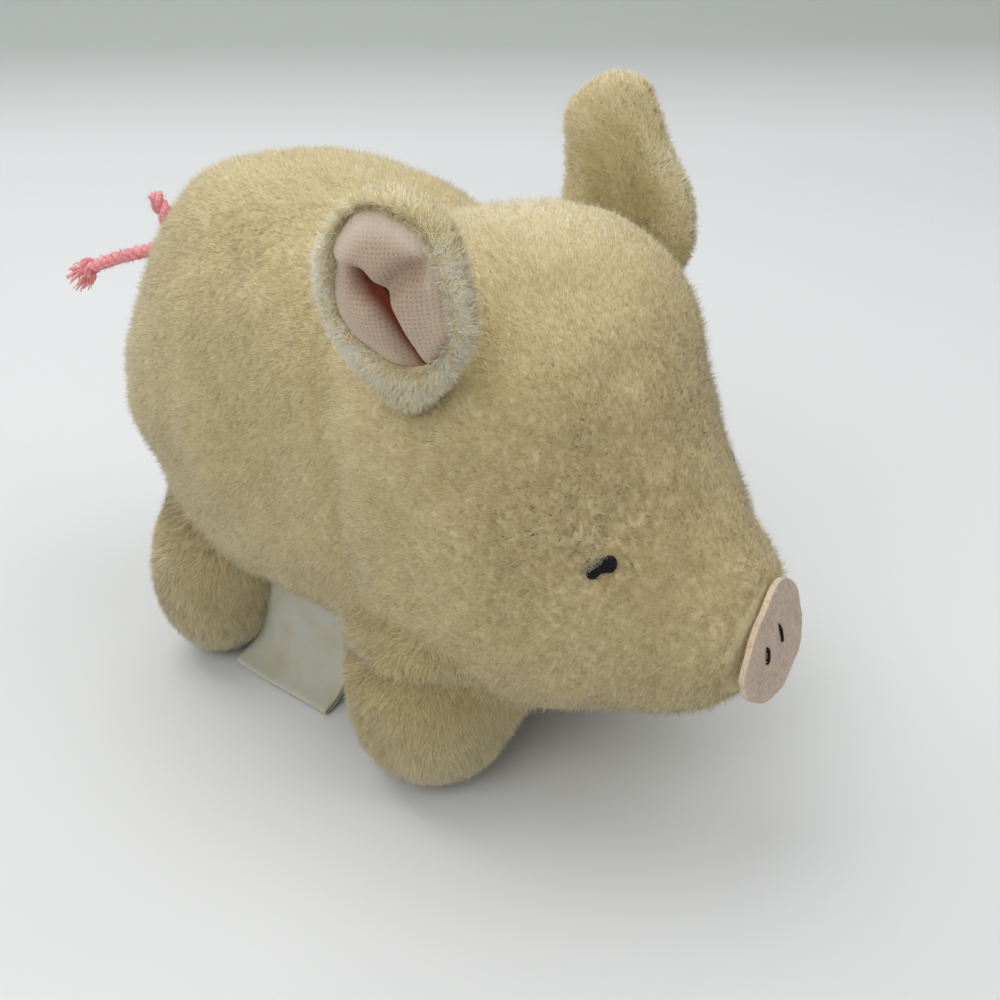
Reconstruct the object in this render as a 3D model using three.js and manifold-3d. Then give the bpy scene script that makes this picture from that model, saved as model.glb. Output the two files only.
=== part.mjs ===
// A small stuffed pig in short cream plush, standing on four stub legs.
// Every cover is a shell of plush over one mass of stuffing.
// The ears, the tail and the label turn at their seams.
// The pig looks along +X, its left side is +Y, and its soles stand on the plane of X and Y.

import * as THREE from 'three';
import { mergeVertices } from 'three/addons/utils/BufferGeometryUtils.js';
import Module from 'manifold-3d';

const wasm = await Module();
wasm.setup();

// Driving sizes, in millimetres
const plushWall = 5;
const seamGap = 0.3;
const cutOverrun = 40;

// Body
const bodyLength = 108;
const bodyHalfWidth = 42;
const bodyHalfHeight = 51;
const bodyCentreHeight = 67.4;
const bodyRumpRise = 1.9;
const bodyRoundness = 2.2;

// Head
const headPivotFromRump = 91;
const headPivotHeight = 66.4;
const headDroop = THREE.MathUtils.degToRad(9);
const headBack = 38;
const headHalfWidth = 40;
const headHalfHeight = 46;
const headRoundness = 2.35;
const muzzleReach = 69.2;
const muzzleTrim = 1.5;
const muzzleDrop = 11;

// Legs
const legSpread = 27;
const frontLegFromRump = 94.5;
const frontLegRadius = 18.6;
const frontLegHeight = 48;
const rearLegFromRump = 23.5;
const rearLegRadius = 14.3;
const rearLegHeight = 46;
const soleDepth = 0.5;

// Belly panel, let in between the legs
const bellyHalfWidth = 24;
const bellyFromRump = 58;
const bellyHalfLength = 43;

// Snout disc and its two nostril stitches
const discRadius = 12.5;
const discThickness = 1.4;
const discLift = THREE.MathUtils.degToRad(5.5);
const nostrilSpacing = 5.4;
const nostrilRoll = THREE.MathUtils.degToRad(36);
const nostrilLength = 3.8;
const nostrilHalfWidth = 0.55;
const nostrilDepth = 0.7;

// Eyes, each one thick satin stitch
const eyeFromRump = 135;
const eyeHeight = 68;
const eyeHalfLength = 2.9;
const eyeHalfWidth = 1.7;
const eyeHalfDepth = 1.2;
const eyeSlant = THREE.MathUtils.degToRad(24);

// Ears
const earRootFromRump = 101.6;
const earRootHeight = 92.6;
const earRootProud = 1.4;
const earLength = 40;
const earHalfWidth = 15;
const earHalfThickness = 4.6;
const earRootRadius = 4.2;
const earRootHalfWidth = 6.4;
const earLeanOut = THREE.MathUtils.degToRad(2.5);
const rightEarLeanBack = THREE.MathUtils.degToRad(4);
const leftEarLeanBack = THREE.MathUtils.degToRad(9);
const rightEarTurn = THREE.MathUtils.degToRad(12);
const leftEarTurn = THREE.MathUtils.degToRad(-6);
const earFoldIn = THREE.MathUtils.degToRad(-8);

// Ear lining, two puffed lobes with a deep crease between them
const liningStart = 8;
const liningLength = 27;
const liningHalfWidth = 9.8;
const lobeHalfWidth = 5.1;
const lobeHalfThickness = 2;
const liningDepth = 2.6;

// Tail, a twisted cord with one curl
const tailDiameter = 3.2;
const tailRootHeight = 87.5;
const tailRootDepth = 1.4;
const tailRun = 10.5;
const curlRadius = 6.6;
const curlShift = 4.4;
const curlSteps = 16;
const tailSections = 62;
const tailSides = 8;
const knotRadius = 2.5;
const tuftLength = 6.5;
const tuftRadius = 3.6;
// The strand beyond the curl, from the tail's root to its knot
const tailStrand = [
  [-19, 4.4, -0.6],
  [-26, 4, -2.3],
  [-34, 3.2, -5.2],
  [-41, 2.3, -8.4],
  [-48, 1.3, -11.8],
];

// Care label, folded from a woven strip and caught in the belly seam
const labelWidth = 28;
const labelFromRump = 52.8;
const labelThickness = 0.8;
const labelRootRadius = 0.9;
const labelRootProud = 0.2;
const labelFlare = 8;
const labelFloorGap = 0.6;

// Counts
const bodyRings = 20;
const bodySides = 24;
const headRings = 22;
const headSides = 24;
const legRings = 10;
const legSides = 16;
const earRings = 12;
const earSides = 14;
const smallRings = 6;
const smallSides = 8;
const curveSteps = 12;
const discSides = 40;
const seatSides = 16;

const plush = { color: 0xcdbe94, roughness: 0.95, metalness: 0 };
const lining = { color: 0xd3b9a6, roughness: 0.9, metalness: 0 };
const felt = { color: 0xc7a79c, roughness: 0.95, metalness: 0 };
const thread = { color: 0x151414, roughness: 0.6, metalness: 0 };
const yarn = { color: 0xe88782, roughness: 0.85, metalness: 0 };
const satin = { color: 0xb9bdb0, roughness: 0.5, metalness: 0 };
const fibre = { color: 0xf2f0ea, roughness: 1, metalness: 0 };

const upAxis = new THREE.Vector3(0, 0, 1);
const leftAxis = new THREE.Vector3(0, 1, 0);
const aheadAxis = new THREE.Vector3(1, 0, 0);

// The snout disc's foremost edge, from the head's pivot, and the toy centred between it and the rump
const discFace = seamGap + discThickness;
const discPlace = new THREE.Vector3(muzzleReach - muzzleTrim, 0, -muzzleDrop);
const noseEdge = new THREE.Vector3(discFace, 0, discRadius)
  .applyAxisAngle(leftAxis, -discLift)
  .add(discPlace)
  .applyAxisAngle(leftAxis, headDroop);
const toyLength = headPivotFromRump + noseEdge.x;
const rumpX = -toyLength / 2;

// Swelling of each form: along, top, side, bottom and rise of the centre line, as shares of its sizes
const bodyShares = [
  [0, 0, 0, 0, 1],
  [0.013, 0.29, 0.3, 0.29, 0.97],
  [0.066, 0.6, 0.6, 0.6, 0.87],
  [0.18, 0.86, 0.86, 0.84, 0.64],
  [0.34, 1, 0.99, 0.97, 0.32],
  [0.51, 1, 1, 1, 0],
  [0.69, 0.87, 0.95, 0.97, -0.38],
  [0.85, 0.78, 0.84, 0.86, -0.7],
  [0.96, 0.46, 0.51, 0.56, -0.92],
  [1, 0, 0, 0, -1],
];
const headShares = [
  [0, 0, 0, 0, -0.36],
  [0.019, 0.37, 0.35, 0.33, -0.36],
  [0.113, 0.79, 0.75, 0.7, -0.36],
  [0.283, 1, 0.98, 0.95, -0.27],
  [0.467, 0.97, 1, 1, 0],
  [0.628, 0.94, 0.91, 0.87, 0.45],
  [0.763, 0.61, 0.73, 0.74, 0.62],
  [0.872, 0.42, 0.52, 0.54, 0.93],
  [0.955, 0.305, 0.357, 0.325, 1],
  [0.99, 0.268, 0.31, 0.28, 1],
  [1, 0, 0, 0, 1],
];
const legShares = [
  [0, 0, 0, 0, 0],
  [0.02, 0.34, 0.34, 0.34, 0],
  [0.1, 0.69, 0.69, 0.69, 0],
  [0.28, 0.94, 0.94, 0.94, 0],
  [0.5, 1, 1, 1, 0],
  [0.72, 0.97, 0.97, 0.97, 0],
  [0.9, 0.7, 0.7, 0.7, 0],
  [0.98, 0.32, 0.32, 0.32, 0],
  [1, 0, 0, 0, 0],
];
const earShares = [
  [0, 0, 0, 0, 0],
  [0.03, 0.5, 0.2, 0.5, 0],
  [0.1, 0.78, 0.38, 0.78, 0],
  [0.24, 0.94, 0.68, 0.94, 0],
  [0.42, 1, 0.93, 1, 0],
  [0.6, 1, 1, 1, 0],
  [0.76, 0.95, 0.9, 0.95, 0],
  [0.9, 0.74, 0.64, 0.74, 0],
  [0.975, 0.42, 0.34, 0.42, 0],
  [1, 0, 0, 0, 0],
];
// The frayed tuft's outline: across and along
const tuftShares = [[0.45, 0], [0.62, 0.3], [1, 0.85], [0.7, 1]];
// The label's bend from its root to its free edge: outward and down
const labelBendShares = [[0, 0], [0, 0.5], [0.25, 0.75], [1, 1]];
const padShares = [
  [0, 0, 0, 0, 0],
  [0.04, 0.38, 0.38, 0.38, 0],
  [0.17, 0.72, 0.7, 0.72, 0],
  [0.38, 0.96, 0.93, 0.96, 0],
  [0.6, 1, 1, 1, 0],
  [0.8, 0.83, 0.86, 0.83, 0],
  [0.95, 0.44, 0.5, 0.44, 0],
  [1, 0, 0, 0, 0],
];

// One swelling form along its own +X, closed at both ends and set in by the given depth
function swollenForm(form, inset = 0) {
  const column = (place) => new THREE.SplineCurve(
    form.shares.map((row) => new THREE.Vector2(row[0], row[place])),
  );
  const curves = [1, 2, 3, 4].map(column);
  const rows = [];
  for (let ring = 0; ring <= form.rings; ring += 1) {
    const at = ring / form.rings;
    const [top, side, bottom, rise] = curves.map((curve) => curve.getPoint(at));
    rows.push({
      x: top.x * form.length,
      top: Math.max(top.y, 0) * form.top,
      side: Math.max(side.y, 0) * form.side,
      bottom: Math.max(bottom.y, 0) * form.bottom,
      rise: rise.y * form.rise,
    });
  }
  const girth = (row) => (row.top + row.side + row.bottom) / 3;
  const kept = [];
  for (let ring = 1; ring < form.rings; ring += 1) {
    const before = rows[ring - 1];
    const after = rows[ring + 1];
    const normal = new THREE.Vector2(girth(before) - girth(after), after.x - before.x).normalize();
    const depth = inset * normal.y;
    const row = { ...rows[ring], x: rows[ring].x - inset * normal.x };
    row.top -= depth;
    row.side -= depth;
    row.bottom -= depth;
    const last = kept.length > 0 ? kept[kept.length - 1].x : inset;
    const narrow = Math.min(row.top, row.side, row.bottom) <= 0;
    if (!narrow && row.x > last && row.x < form.length - inset) kept.push(row);
  }
  const positions = [];
  const curl = (value) => Math.sign(value) * Math.abs(value) ** (2 / form.roundness);
  for (const row of kept) {
    for (let step = 0; step < form.sides; step += 1) {
      const angle = (step / form.sides) * Math.PI * 2;
      const across = curl(Math.cos(angle)) * row.side;
      const up = curl(Math.sin(angle));
      positions.push(row.x, across, row.rise + up * (up > 0 ? row.top : row.bottom));
    }
  }
  const tail = positions.length / 3;
  positions.push(inset, 0, kept[0].rise);
  positions.push(form.length - inset, 0, kept[kept.length - 1].rise);
  const faces = [];
  for (let step = 0; step < form.sides; step += 1) {
    const next = (step + 1) % form.sides;
    for (let ring = 0; ring < kept.length - 1; ring += 1) {
      const near = ring * form.sides;
      const far = near + form.sides;
      faces.push(near + step, near + next, far + next);
      faces.push(near + step, far + next, far + step);
    }
    const end = (kept.length - 1) * form.sides;
    faces.push(tail, next, step);
    faces.push(tail + 1, end + step, end + next);
  }
  const geometry = new THREE.BufferGeometry();
  geometry.setAttribute('position', new THREE.Float32BufferAttribute(positions, 3));
  geometry.setIndex(faces);
  return geometry;
}

// A closed geometry as a solid, placed where a group holds it
function solidIn(group, geometry) {
  const placed = geometry.clone().applyMatrix4(group.matrixWorld);
  placed.deleteAttribute('normal');
  placed.deleteAttribute('uv');
  const merged = mergeVertices(placed);
  return new wasm.Manifold(new wasm.Mesh({
    numProp: 3,
    vertProperties: new Float32Array(merged.attributes.position.array),
    triVerts: new Uint32Array(merged.index.array),
  }));
}

// The solid's faces, back in the frame of the group that will hold them
function geometryFor(group, solid) {
  const mesh = solid.getMesh();
  const geometry = new THREE.BufferGeometry();
  geometry.setAttribute('position', new THREE.BufferAttribute(new Float32Array(mesh.vertProperties), 3));
  geometry.setIndex(new THREE.BufferAttribute(new Uint32Array(mesh.triVerts), 1));
  return geometry.applyMatrix4(group.matrixWorld.clone().invert());
}

function addPiece(group, name, geometry, finish) {
  const piece = new THREE.Mesh(geometry, new THREE.MeshStandardMaterial(finish));
  piece.name = name;
  group.add(piece);
  return piece;
}

function addGroup(parent, place) {
  const group = new THREE.Group();
  group.position.copy(place);
  parent.add(group);
  group.updateWorldMatrix(true, false);
  return group;
}

function turned(group, x, y, z) {
  group.rotation.set(x, y, z);
  group.updateWorldMatrix(true, false);
  return group;
}

// Where a straight line from far outside first meets a form, and the way the form faces there
function surfaceAt(form, through, toward) {
  const from = through.clone().addScaledVector(toward, -toyLength * 2);
  const [first] = new THREE.Raycaster(from, toward).intersectObject(form);
  const normal = first.face.normal.clone().transformDirection(form.matrixWorld);
  return { point: first.point, normal };
}

const joined = (solids) => solids.reduce((all, solid) => all.add(solid));
const cutBy = (solid, cutters) => cutters.reduce((left, cutter) => left.subtract(cutter), solid);

// The main piece that a cut leaves
function mainPart(solid) {
  const parts = solid.decompose();
  parts.sort((one, other) => other.volume() - one.volume());
  return parts[0];
}

const pig = new THREE.Group();
const bodyGroup = addGroup(pig, new THREE.Vector3(rumpX, 0, bodyCentreHeight));
const headGroup = turned(
  addGroup(pig, new THREE.Vector3(rumpX + headPivotFromRump, 0, headPivotHeight)),
  0, headDroop, 0,
);

const bodyForm = {
  shares: bodyShares, length: bodyLength, top: bodyHalfHeight, side: bodyHalfWidth, bottom: bodyHalfHeight,
  rise: bodyRumpRise, rings: bodyRings, sides: bodySides, roundness: bodyRoundness,
};
const headForm = {
  shares: headShares, length: headBack + muzzleReach, top: headHalfHeight, side: headHalfWidth,
  bottom: headHalfHeight, rise: -muzzleDrop, rings: headRings, sides: headSides, roundness: headRoundness,
};
const bodyShape = (inset) => swollenForm(bodyForm, inset);
const headShape = (inset) => swollenForm(headForm, inset).translate(-headBack, 0, 0);
const bodySolid = (inset) => solidIn(bodyGroup, bodyShape(inset));
const headSolid = (inset) => solidIn(headGroup, headShape(inset));

// The plain outer forms, on which the smaller pieces are seated
function probeOf(group, geometry) {
  const probe = new THREE.Mesh(geometry.applyMatrix4(group.matrixWorld));
  probe.updateMatrixWorld();
  return probe;
}
const bodyProbe = probeOf(bodyGroup, bodyShape(0));
const headProbe = probeOf(headGroup, headShape(0));

// Legs, each a swelling stub that runs up into the body and is cut flat at its sole
const legPairs = [
  { end: 'front', along: frontLegFromRump, radius: frontLegRadius, height: frontLegHeight },
  { end: 'rear', along: rearLegFromRump, radius: rearLegRadius, height: rearLegHeight },
];
const flanks = [{ word: 'right', side: -1 }, { word: 'left', side: 1 }];
const legs = legPairs.flatMap((pair) => flanks.map((flank) => (
  { ...pair, side: flank.side, name: `${pair.end}_${flank.word}_leg_cover` }
)));
for (const leg of legs) {
  const foot = new THREE.Vector3(rumpX + leg.along, leg.side * legSpread, -soleDepth);
  leg.group = turned(addGroup(pig, foot), 0, -Math.PI / 2, 0);
  const form = {
    shares: legShares, length: leg.height, top: leg.radius, side: leg.radius, bottom: leg.radius,
    rise: 0, rings: legRings, sides: legSides, roundness: 2,
  };
  leg.solid = (inset) => solidIn(leg.group, swollenForm(form, inset));
}
const ground = solidIn(
  pig,
  new THREE.BoxGeometry(toyLength * 2, toyLength * 2, cutOverrun).translate(0, 0, -cutOverrun / 2),
);

// Snout disc, sewn on the flat end of the muzzle, with a recess for each nostril stitch
const discGroup = turned(addGroup(headGroup, discPlace), 0, -discLift, 0);
const muzzleEnd = new THREE.CylinderGeometry(headHalfWidth, headHalfWidth, cutOverrun, seatSides)
  .rotateZ(-Math.PI / 2)
  .translate(cutOverrun / 2, 0, 0);
const discShape = new THREE.CylinderGeometry(discRadius, discRadius, discThickness, discSides)
  .rotateZ(-Math.PI / 2)
  .translate(seamGap + discThickness / 2, 0, 0);
const nostrilForm = {
  shares: padShares, length: nostrilLength, top: nostrilHalfWidth, side: nostrilHalfWidth,
  bottom: nostrilHalfWidth, rise: 0, rings: smallRings, sides: smallSides, roundness: 2,
};
const nostrils = flanks.map((flank) => ({ name: `${flank.word}_nostril_stitch`, side: flank.side }));
for (const nostril of nostrils) {
  const across = nostril.side * Math.cos(nostrilRoll) * nostrilSpacing / 2;
  const up = nostril.side * Math.sin(nostrilRoll) * nostrilSpacing / 2;
  const place = new THREE.Vector3(discFace - nostrilDepth + nostrilHalfWidth, across, up - nostrilLength / 2);
  nostril.group = turned(addGroup(discGroup, place), 0, -Math.PI / 2, 0);
  nostril.solid = (inset) => solidIn(nostril.group, swollenForm(nostrilForm, inset));
}

// Eyes, each sunk into the plush at the side of the muzzle
const eyeForm = {
  shares: padShares, length: eyeHalfLength * 2, top: eyeHalfDepth, side: eyeHalfWidth, bottom: eyeHalfDepth,
  rise: 0, rings: smallRings, sides: smallSides, roundness: 2,
};
const eyes = flanks.map((flank) => ({ name: `${flank.word}_eye_stitch`, side: flank.side }));
for (const eye of eyes) {
  const through = new THREE.Vector3(rumpX + eyeFromRump, 0, eyeHeight);
  const seat = surfaceAt(headProbe, through, leftAxis.clone().multiplyScalar(-eye.side));
  const level = seat.normal.clone().cross(upAxis).multiplyScalar(-eye.side).normalize();
  const raised = level.applyAxisAngle(seat.normal, eye.side * eyeSlant);
  eye.group = addGroup(pig, seat.point);
  eye.group.quaternion.setFromRotationMatrix(
    new THREE.Matrix4().makeBasis(raised, seat.normal.clone().cross(raised), seat.normal),
  );
  eye.group.updateWorldMatrix(true, false);
  eye.solid = (inset) => solidIn(eye.group, swollenForm(eyeForm, inset).translate(-eyeHalfLength, 0, 0));
}

// Ears, each a leaf of plush on a round root that turns in its seat
const earForm = {
  shares: earShares, length: earLength, top: earHalfThickness, side: earHalfWidth, bottom: earHalfThickness,
  rise: 0, rings: earRings, sides: earSides, roundness: 2,
};
const dishForm = {
  shares: padShares, length: liningLength, top: liningDepth, side: liningHalfWidth, bottom: liningDepth,
  rise: 0, rings: smallRings, sides: earSides, roundness: 2,
};
const lobeForm = {
  shares: padShares, length: liningLength - liningDepth, top: lobeHalfThickness, side: lobeHalfWidth,
  bottom: lobeHalfThickness, rise: 0, rings: smallRings, sides: smallSides, roundness: 2,
};
const earRoot = (inset) => new THREE.SphereGeometry(1, seatSides, smallSides)
  .scale(earRootRadius - inset, earRootHalfWidth - inset, earRootRadius - inset);
const lobes = (inset) => [-1, 1].map((side) => swollenForm(lobeForm, inset).translate(
  liningStart + liningDepth / 2,
  side * (liningHalfWidth - lobeHalfWidth),
  earHalfThickness - liningDepth,
));
const ears = [
  { name: 'right_ear', side: -1, turn: rightEarTurn, leanBack: rightEarLeanBack },
  { name: 'left_ear', side: 1, turn: leftEarTurn, leanBack: leftEarLeanBack },
];
for (const ear of ears) {
  const through = new THREE.Vector3(rumpX + earRootFromRump, 0, earRootHeight);
  const seat = surfaceAt(headProbe, through, leftAxis.clone().multiplyScalar(-ear.side));
  const place = seat.point.addScaledVector(seat.normal, earRootProud);
  const up = new THREE.Vector3(-Math.tan(ear.leanBack), ear.side * Math.tan(earLeanOut), 1).normalize();
  const outward = new THREE.Vector3(Math.sin(ear.turn), ear.side * Math.cos(ear.turn), 0);
  const across = outward.clone().cross(up).normalize();
  ear.foldAxis = across.clone().negate();
  ear.group = addGroup(pig, place);
  ear.group.quaternion.setFromRotationMatrix(
    new THREE.Matrix4().makeBasis(up, across, up.clone().cross(across)),
  );
  ear.group.updateWorldMatrix(true, false);
  const stand = ear.group.matrixWorld;
  const whole = (inset) => joined([
    solidIn(ear.group, swollenForm(earForm, inset)),
    solidIn(ear.group, earRoot(inset)),
  ]);
  const dish = swollenForm(dishForm).translate(liningStart, 0, earHalfThickness);
  ear.solid = cutBy(whole(0), [dish, ...lobes(-seamGap)].map((shape) => solidIn(ear.group, shape)));
  ear.lining = joined(lobes(0).map((lobe) => solidIn(ear.group, lobe)));
  // The space that the grown ear needs where it stands and where it is folded in against the head
  const backToOrigin = stand.clone().invert();
  ear.seat = joined([earFoldIn, 0].map((fold) => {
    const turn = new THREE.Matrix4().makeRotationY(-fold);
    return whole(-seamGap).transform(stand.clone().multiply(turn).multiply(backToOrigin).elements);
  }));
}

// Tail cord: out of the rump, once round its curl, then away and down to its knot
const tailThrough = new THREE.Vector3(0, 0, tailRootHeight);
const tailRoot = surfaceAt(bodyProbe, tailThrough, aheadAxis).point;
const curlCentre = tailRoot.clone().add(new THREE.Vector3(-tailRun, 0, curlRadius));
const curlPoints = Array.from({ length: curlSteps + 1 }, (_, step) => {
  const share = step / curlSteps;
  const angle = share * Math.PI * 2;
  return curlCentre.clone().add(new THREE.Vector3(
    -Math.sin(angle) * curlRadius,
    share * curlShift,
    -Math.cos(angle) * curlRadius,
  ));
});
const strandPoints = tailStrand.map((offset) => tailRoot.clone().add(new THREE.Vector3(...offset)));
const tailStart = tailRoot.clone().addScaledVector(aheadAxis, tailRootDepth);
const tailExit = tailRoot.clone().addScaledVector(aheadAxis, -tailDiameter);
const tailRoute = new THREE.CatmullRomCurve3([tailStart, tailExit, ...curlPoints, ...strandPoints]);
const tailRing = new THREE.Shape(Array.from({ length: tailSides }, (_, step) => {
  const angle = (step / tailSides) * Math.PI * 2;
  return new THREE.Vector2(Math.cos(angle), Math.sin(angle)).multiplyScalar(tailDiameter / 2);
}));
const tailCord = new THREE.ExtrudeGeometry(tailRing, { steps: tailSections, extrudePath: tailRoute });

// The least gap between two stretches of the cord that lie further apart along it than half a curl
function leastGap(route, diameter, apart) {
  const length = route.getLength();
  const points = route.getSpacedPoints(Math.round(length));
  const skip = Math.ceil(apart);
  let least = Infinity;
  points.forEach((point, place) => {
    for (const other of points.slice(place + skip)) least = Math.min(least, point.distanceTo(other));
  });
  return least - diameter;
}
const curlGap = leastGap(tailRoute, tailDiameter, Math.PI * curlRadius);
const cordLength = tailRoute.getLength();
console.log(`tail cord ${cordLength.toFixed(1)} mm, least gap in its curl ${curlGap.toFixed(2)} mm`);

const tailEnd = tailRoute.getPoint(1);
const tailWay = tailRoute.getTangent(1);
const knotGroup = addGroup(pig, tailEnd.clone().addScaledVector(tailWay, knotRadius + seamGap));
knotGroup.quaternion.setFromUnitVectors(upAxis, tailWay);
knotGroup.updateWorldMatrix(true, false);
const knotCore = new THREE.SphereGeometry(knotRadius, curveSteps, smallSides);
const knotTurn = new THREE.TorusGeometry(
  knotRadius - tailDiameter / 4, tailDiameter / 2, smallRings, curveSteps,
);
const knot = joined([
  solidIn(knotGroup, knotCore),
  solidIn(knotGroup, knotTurn.clone().rotateX(Math.PI / 4)),
  solidIn(knotGroup, knotTurn.clone().rotateX(-Math.PI / 4)),
]);
const tuftGroup = addGroup(knotGroup, new THREE.Vector3(0, 0, knotRadius + tailDiameter / 4 + seamGap));
const tuftOutline = new THREE.SplineCurve(
  tuftShares.map(([across, along]) => new THREE.Vector2(across * tuftRadius, along * tuftLength)),
);
const tuft = new THREE.LatheGeometry(
  [new THREE.Vector2(0, 0), ...tuftOutline.getPoints(smallRings), new THREE.Vector2(0, tuftLength)],
  smallSides,
).rotateX(Math.PI / 2);

// Belly panel: a stadium outline, straight along both sides so that the seam runs straight past the label
const bellyX = rumpX + bellyFromRump;
function bellyPrism(grow) {
  const half = bellyHalfWidth + grow;
  const straight = bellyHalfLength - bellyHalfWidth;
  const outline = new THREE.Shape();
  outline.moveTo(-straight, -half);
  outline.lineTo(straight, -half);
  outline.absarc(straight, 0, half, -Math.PI / 2, Math.PI / 2, false);
  outline.lineTo(-straight, half);
  outline.absarc(-straight, 0, half, Math.PI / 2, Math.PI * 1.5, false);
  const prism = new THREE.ExtrudeGeometry(outline, {
    depth: bodyCentreHeight, bevelEnabled: false, curveSegments: curveSteps,
  });
  return solidIn(pig, prism.translate(bellyX, 0, 0));
}

// Care label: a rolled root in the seam, then a thin strip that flares out over the floor
const labelX = rumpX + labelFromRump;
const labelUnder = new THREE.Vector3(labelX, -bellyHalfWidth, 0);
const labelSeat = surfaceAt(bodyProbe, labelUnder, upAxis);
const labelRoot = labelSeat.point.clone().addScaledVector(labelSeat.normal, labelRootProud);
const labelGroup = addGroup(pig, labelRoot);
const labelDrop = labelRoot.z - labelFloorGap - labelThickness;
const labelMiddle = new THREE.CubicBezierCurve(
  ...labelBendShares.map(([out, down]) => new THREE.Vector2(-out * labelFlare, -down * labelDrop)),
);
const labelEdge = (side) => labelMiddle.getPoints(curveSteps).map((point, step) => {
  const way = labelMiddle.getTangent(step / curveSteps);
  return new THREE.Vector2(way.y, -way.x).multiplyScalar(side * labelThickness / 2).add(point);
});
const labelStrip = new THREE.ExtrudeGeometry(
  new THREE.Shape([...labelEdge(1), ...labelEdge(-1).reverse()]),
  { depth: labelWidth, bevelEnabled: false },
);
// The strip is drawn across Y and Z, and runs along X
const stripToPig = new THREE.Matrix4().makeBasis(leftAxis, upAxis, aheadAxis);
labelStrip.applyMatrix4(stripToPig).translate(-labelWidth / 2, 0, 0);
const labelRoll = (inset) => new THREE.CylinderGeometry(
  labelRootRadius - inset, labelRootRadius - inset, labelWidth - inset * 2, curveSteps,
).rotateZ(Math.PI / 2);
const label = solidIn(labelGroup, labelStrip).add(solidIn(labelGroup, labelRoll(0)));
const labelGroove = solidIn(labelGroup, labelRoll(-seamGap));

// Covers and stuffing
const legInners = legs.map((leg) => leg.solid(plushWall));
const earSeats = ears.map((ear) => ear.seat);
const tailSeat = solidIn(pig, new THREE.SphereGeometry(
  Math.hypot(tailRootDepth, tailDiameter / 2) + seamGap, seatSides, smallSides,
).translate(...tailRoot.toArray()));
const bodyShell = cutBy(bodySolid(0), [
  bodySolid(plushWall), headSolid(plushWall), ...legInners, labelGroove,
]);
const bodyCover = cutBy(bodyShell, [bellyPrism(seamGap), tailSeat, ...earSeats]);
const bellyPanel = bodyShell.intersect(bellyPrism(0));
const headCover = cutBy(headSolid(0), [
  headSolid(plushWall), ...legInners, bodySolid(-seamGap), solidIn(discGroup, muzzleEnd), ...earSeats,
  ...eyes.map((eye) => eye.solid(-seamGap)),
]);
const stuffing = joined([
  bodySolid(plushWall + seamGap),
  headSolid(plushWall + seamGap),
  ...legs.map((leg) => leg.solid(plushWall + seamGap)),
]);

function addSolid(group, name, solid, finish) {
  return addPiece(group, name, geometryFor(group, solid), finish);
}
addSolid(bodyGroup, 'body_cover', mainPart(bodyCover), plush);
addSolid(bodyGroup, 'belly_panel', mainPart(bellyPanel), plush);
addSolid(headGroup, 'head_cover', mainPart(headCover), plush);
for (const leg of legs) {
  const outside = cutBy(leg.solid(0), [
    leg.solid(plushWall), bodySolid(-seamGap), headSolid(-seamGap), ground,
  ]);
  addSolid(leg.group, leg.name, mainPart(outside), plush);
}
addSolid(bodyGroup, 'stuffing', stuffing, fibre);
for (const ear of ears) {
  addSolid(ear.group, ear.name, ear.solid, plush);
  addSolid(ear.group, `${ear.name}_lining`, ear.lining, lining);
}
const discSolid = cutBy(solidIn(discGroup, discShape), nostrils.map((nostril) => nostril.solid(-seamGap)));
addSolid(discGroup, 'snout_disc', discSolid, felt);
for (const nostril of nostrils) addSolid(nostril.group, nostril.name, nostril.solid(0), thread);
for (const eye of eyes) addSolid(eye.group, eye.name, eye.solid(0), thread);
addSolid(pig, 'tail_cord', solidIn(pig, tailCord), yarn);
addSolid(knotGroup, 'tail_knot', knot, yarn);
addSolid(tuftGroup, 'tail_tuft', solidIn(tuftGroup, tuft), yarn);
addSolid(labelGroup, 'care_label', label, satin);

export default pig;
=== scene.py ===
import math

import bmesh
import bpy
import numpy as np
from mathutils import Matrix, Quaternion, Vector
from mathutils.bvhtree import BVHTree


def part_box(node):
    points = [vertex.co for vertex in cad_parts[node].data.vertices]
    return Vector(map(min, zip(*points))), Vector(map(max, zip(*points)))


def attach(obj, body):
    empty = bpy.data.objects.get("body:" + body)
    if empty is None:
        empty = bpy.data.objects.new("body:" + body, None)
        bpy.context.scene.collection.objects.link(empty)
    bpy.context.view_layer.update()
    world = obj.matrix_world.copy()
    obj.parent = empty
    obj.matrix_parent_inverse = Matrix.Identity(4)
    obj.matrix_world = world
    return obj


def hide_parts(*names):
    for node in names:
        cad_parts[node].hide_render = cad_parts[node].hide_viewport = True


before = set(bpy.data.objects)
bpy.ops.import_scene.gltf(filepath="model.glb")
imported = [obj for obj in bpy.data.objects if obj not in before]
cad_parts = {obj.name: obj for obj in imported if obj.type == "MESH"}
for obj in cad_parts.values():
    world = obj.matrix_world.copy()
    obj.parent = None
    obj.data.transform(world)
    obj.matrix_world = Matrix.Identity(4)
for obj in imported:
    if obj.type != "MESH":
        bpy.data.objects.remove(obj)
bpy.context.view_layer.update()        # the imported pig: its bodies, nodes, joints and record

mm = 0.001
upAxis = Vector((0, 0, 1))


def srgb(red, green, blue):
    # a screen colour of 0 to 255 as the linear colour that a material takes
    return tuple(
        value / 255 / 12.92 if value <= 10 else ((value / 255 + 0.055) / 1.055) ** 2.4
        for value in (red, green, blue)
    ) + (1.0,)


# Camera, at the photograph's viewing angle
cameraSet = {
    "azimuth": 36.94, "elevation": 32.24, "roll": -0.66, "distance": 238.3 * mm,
    "target": Vector((13.79, 0, 52.67)) * mm, "lens": 39.6, "sensor": 36,
    "clip": (10 * mm, 20),
}


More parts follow.
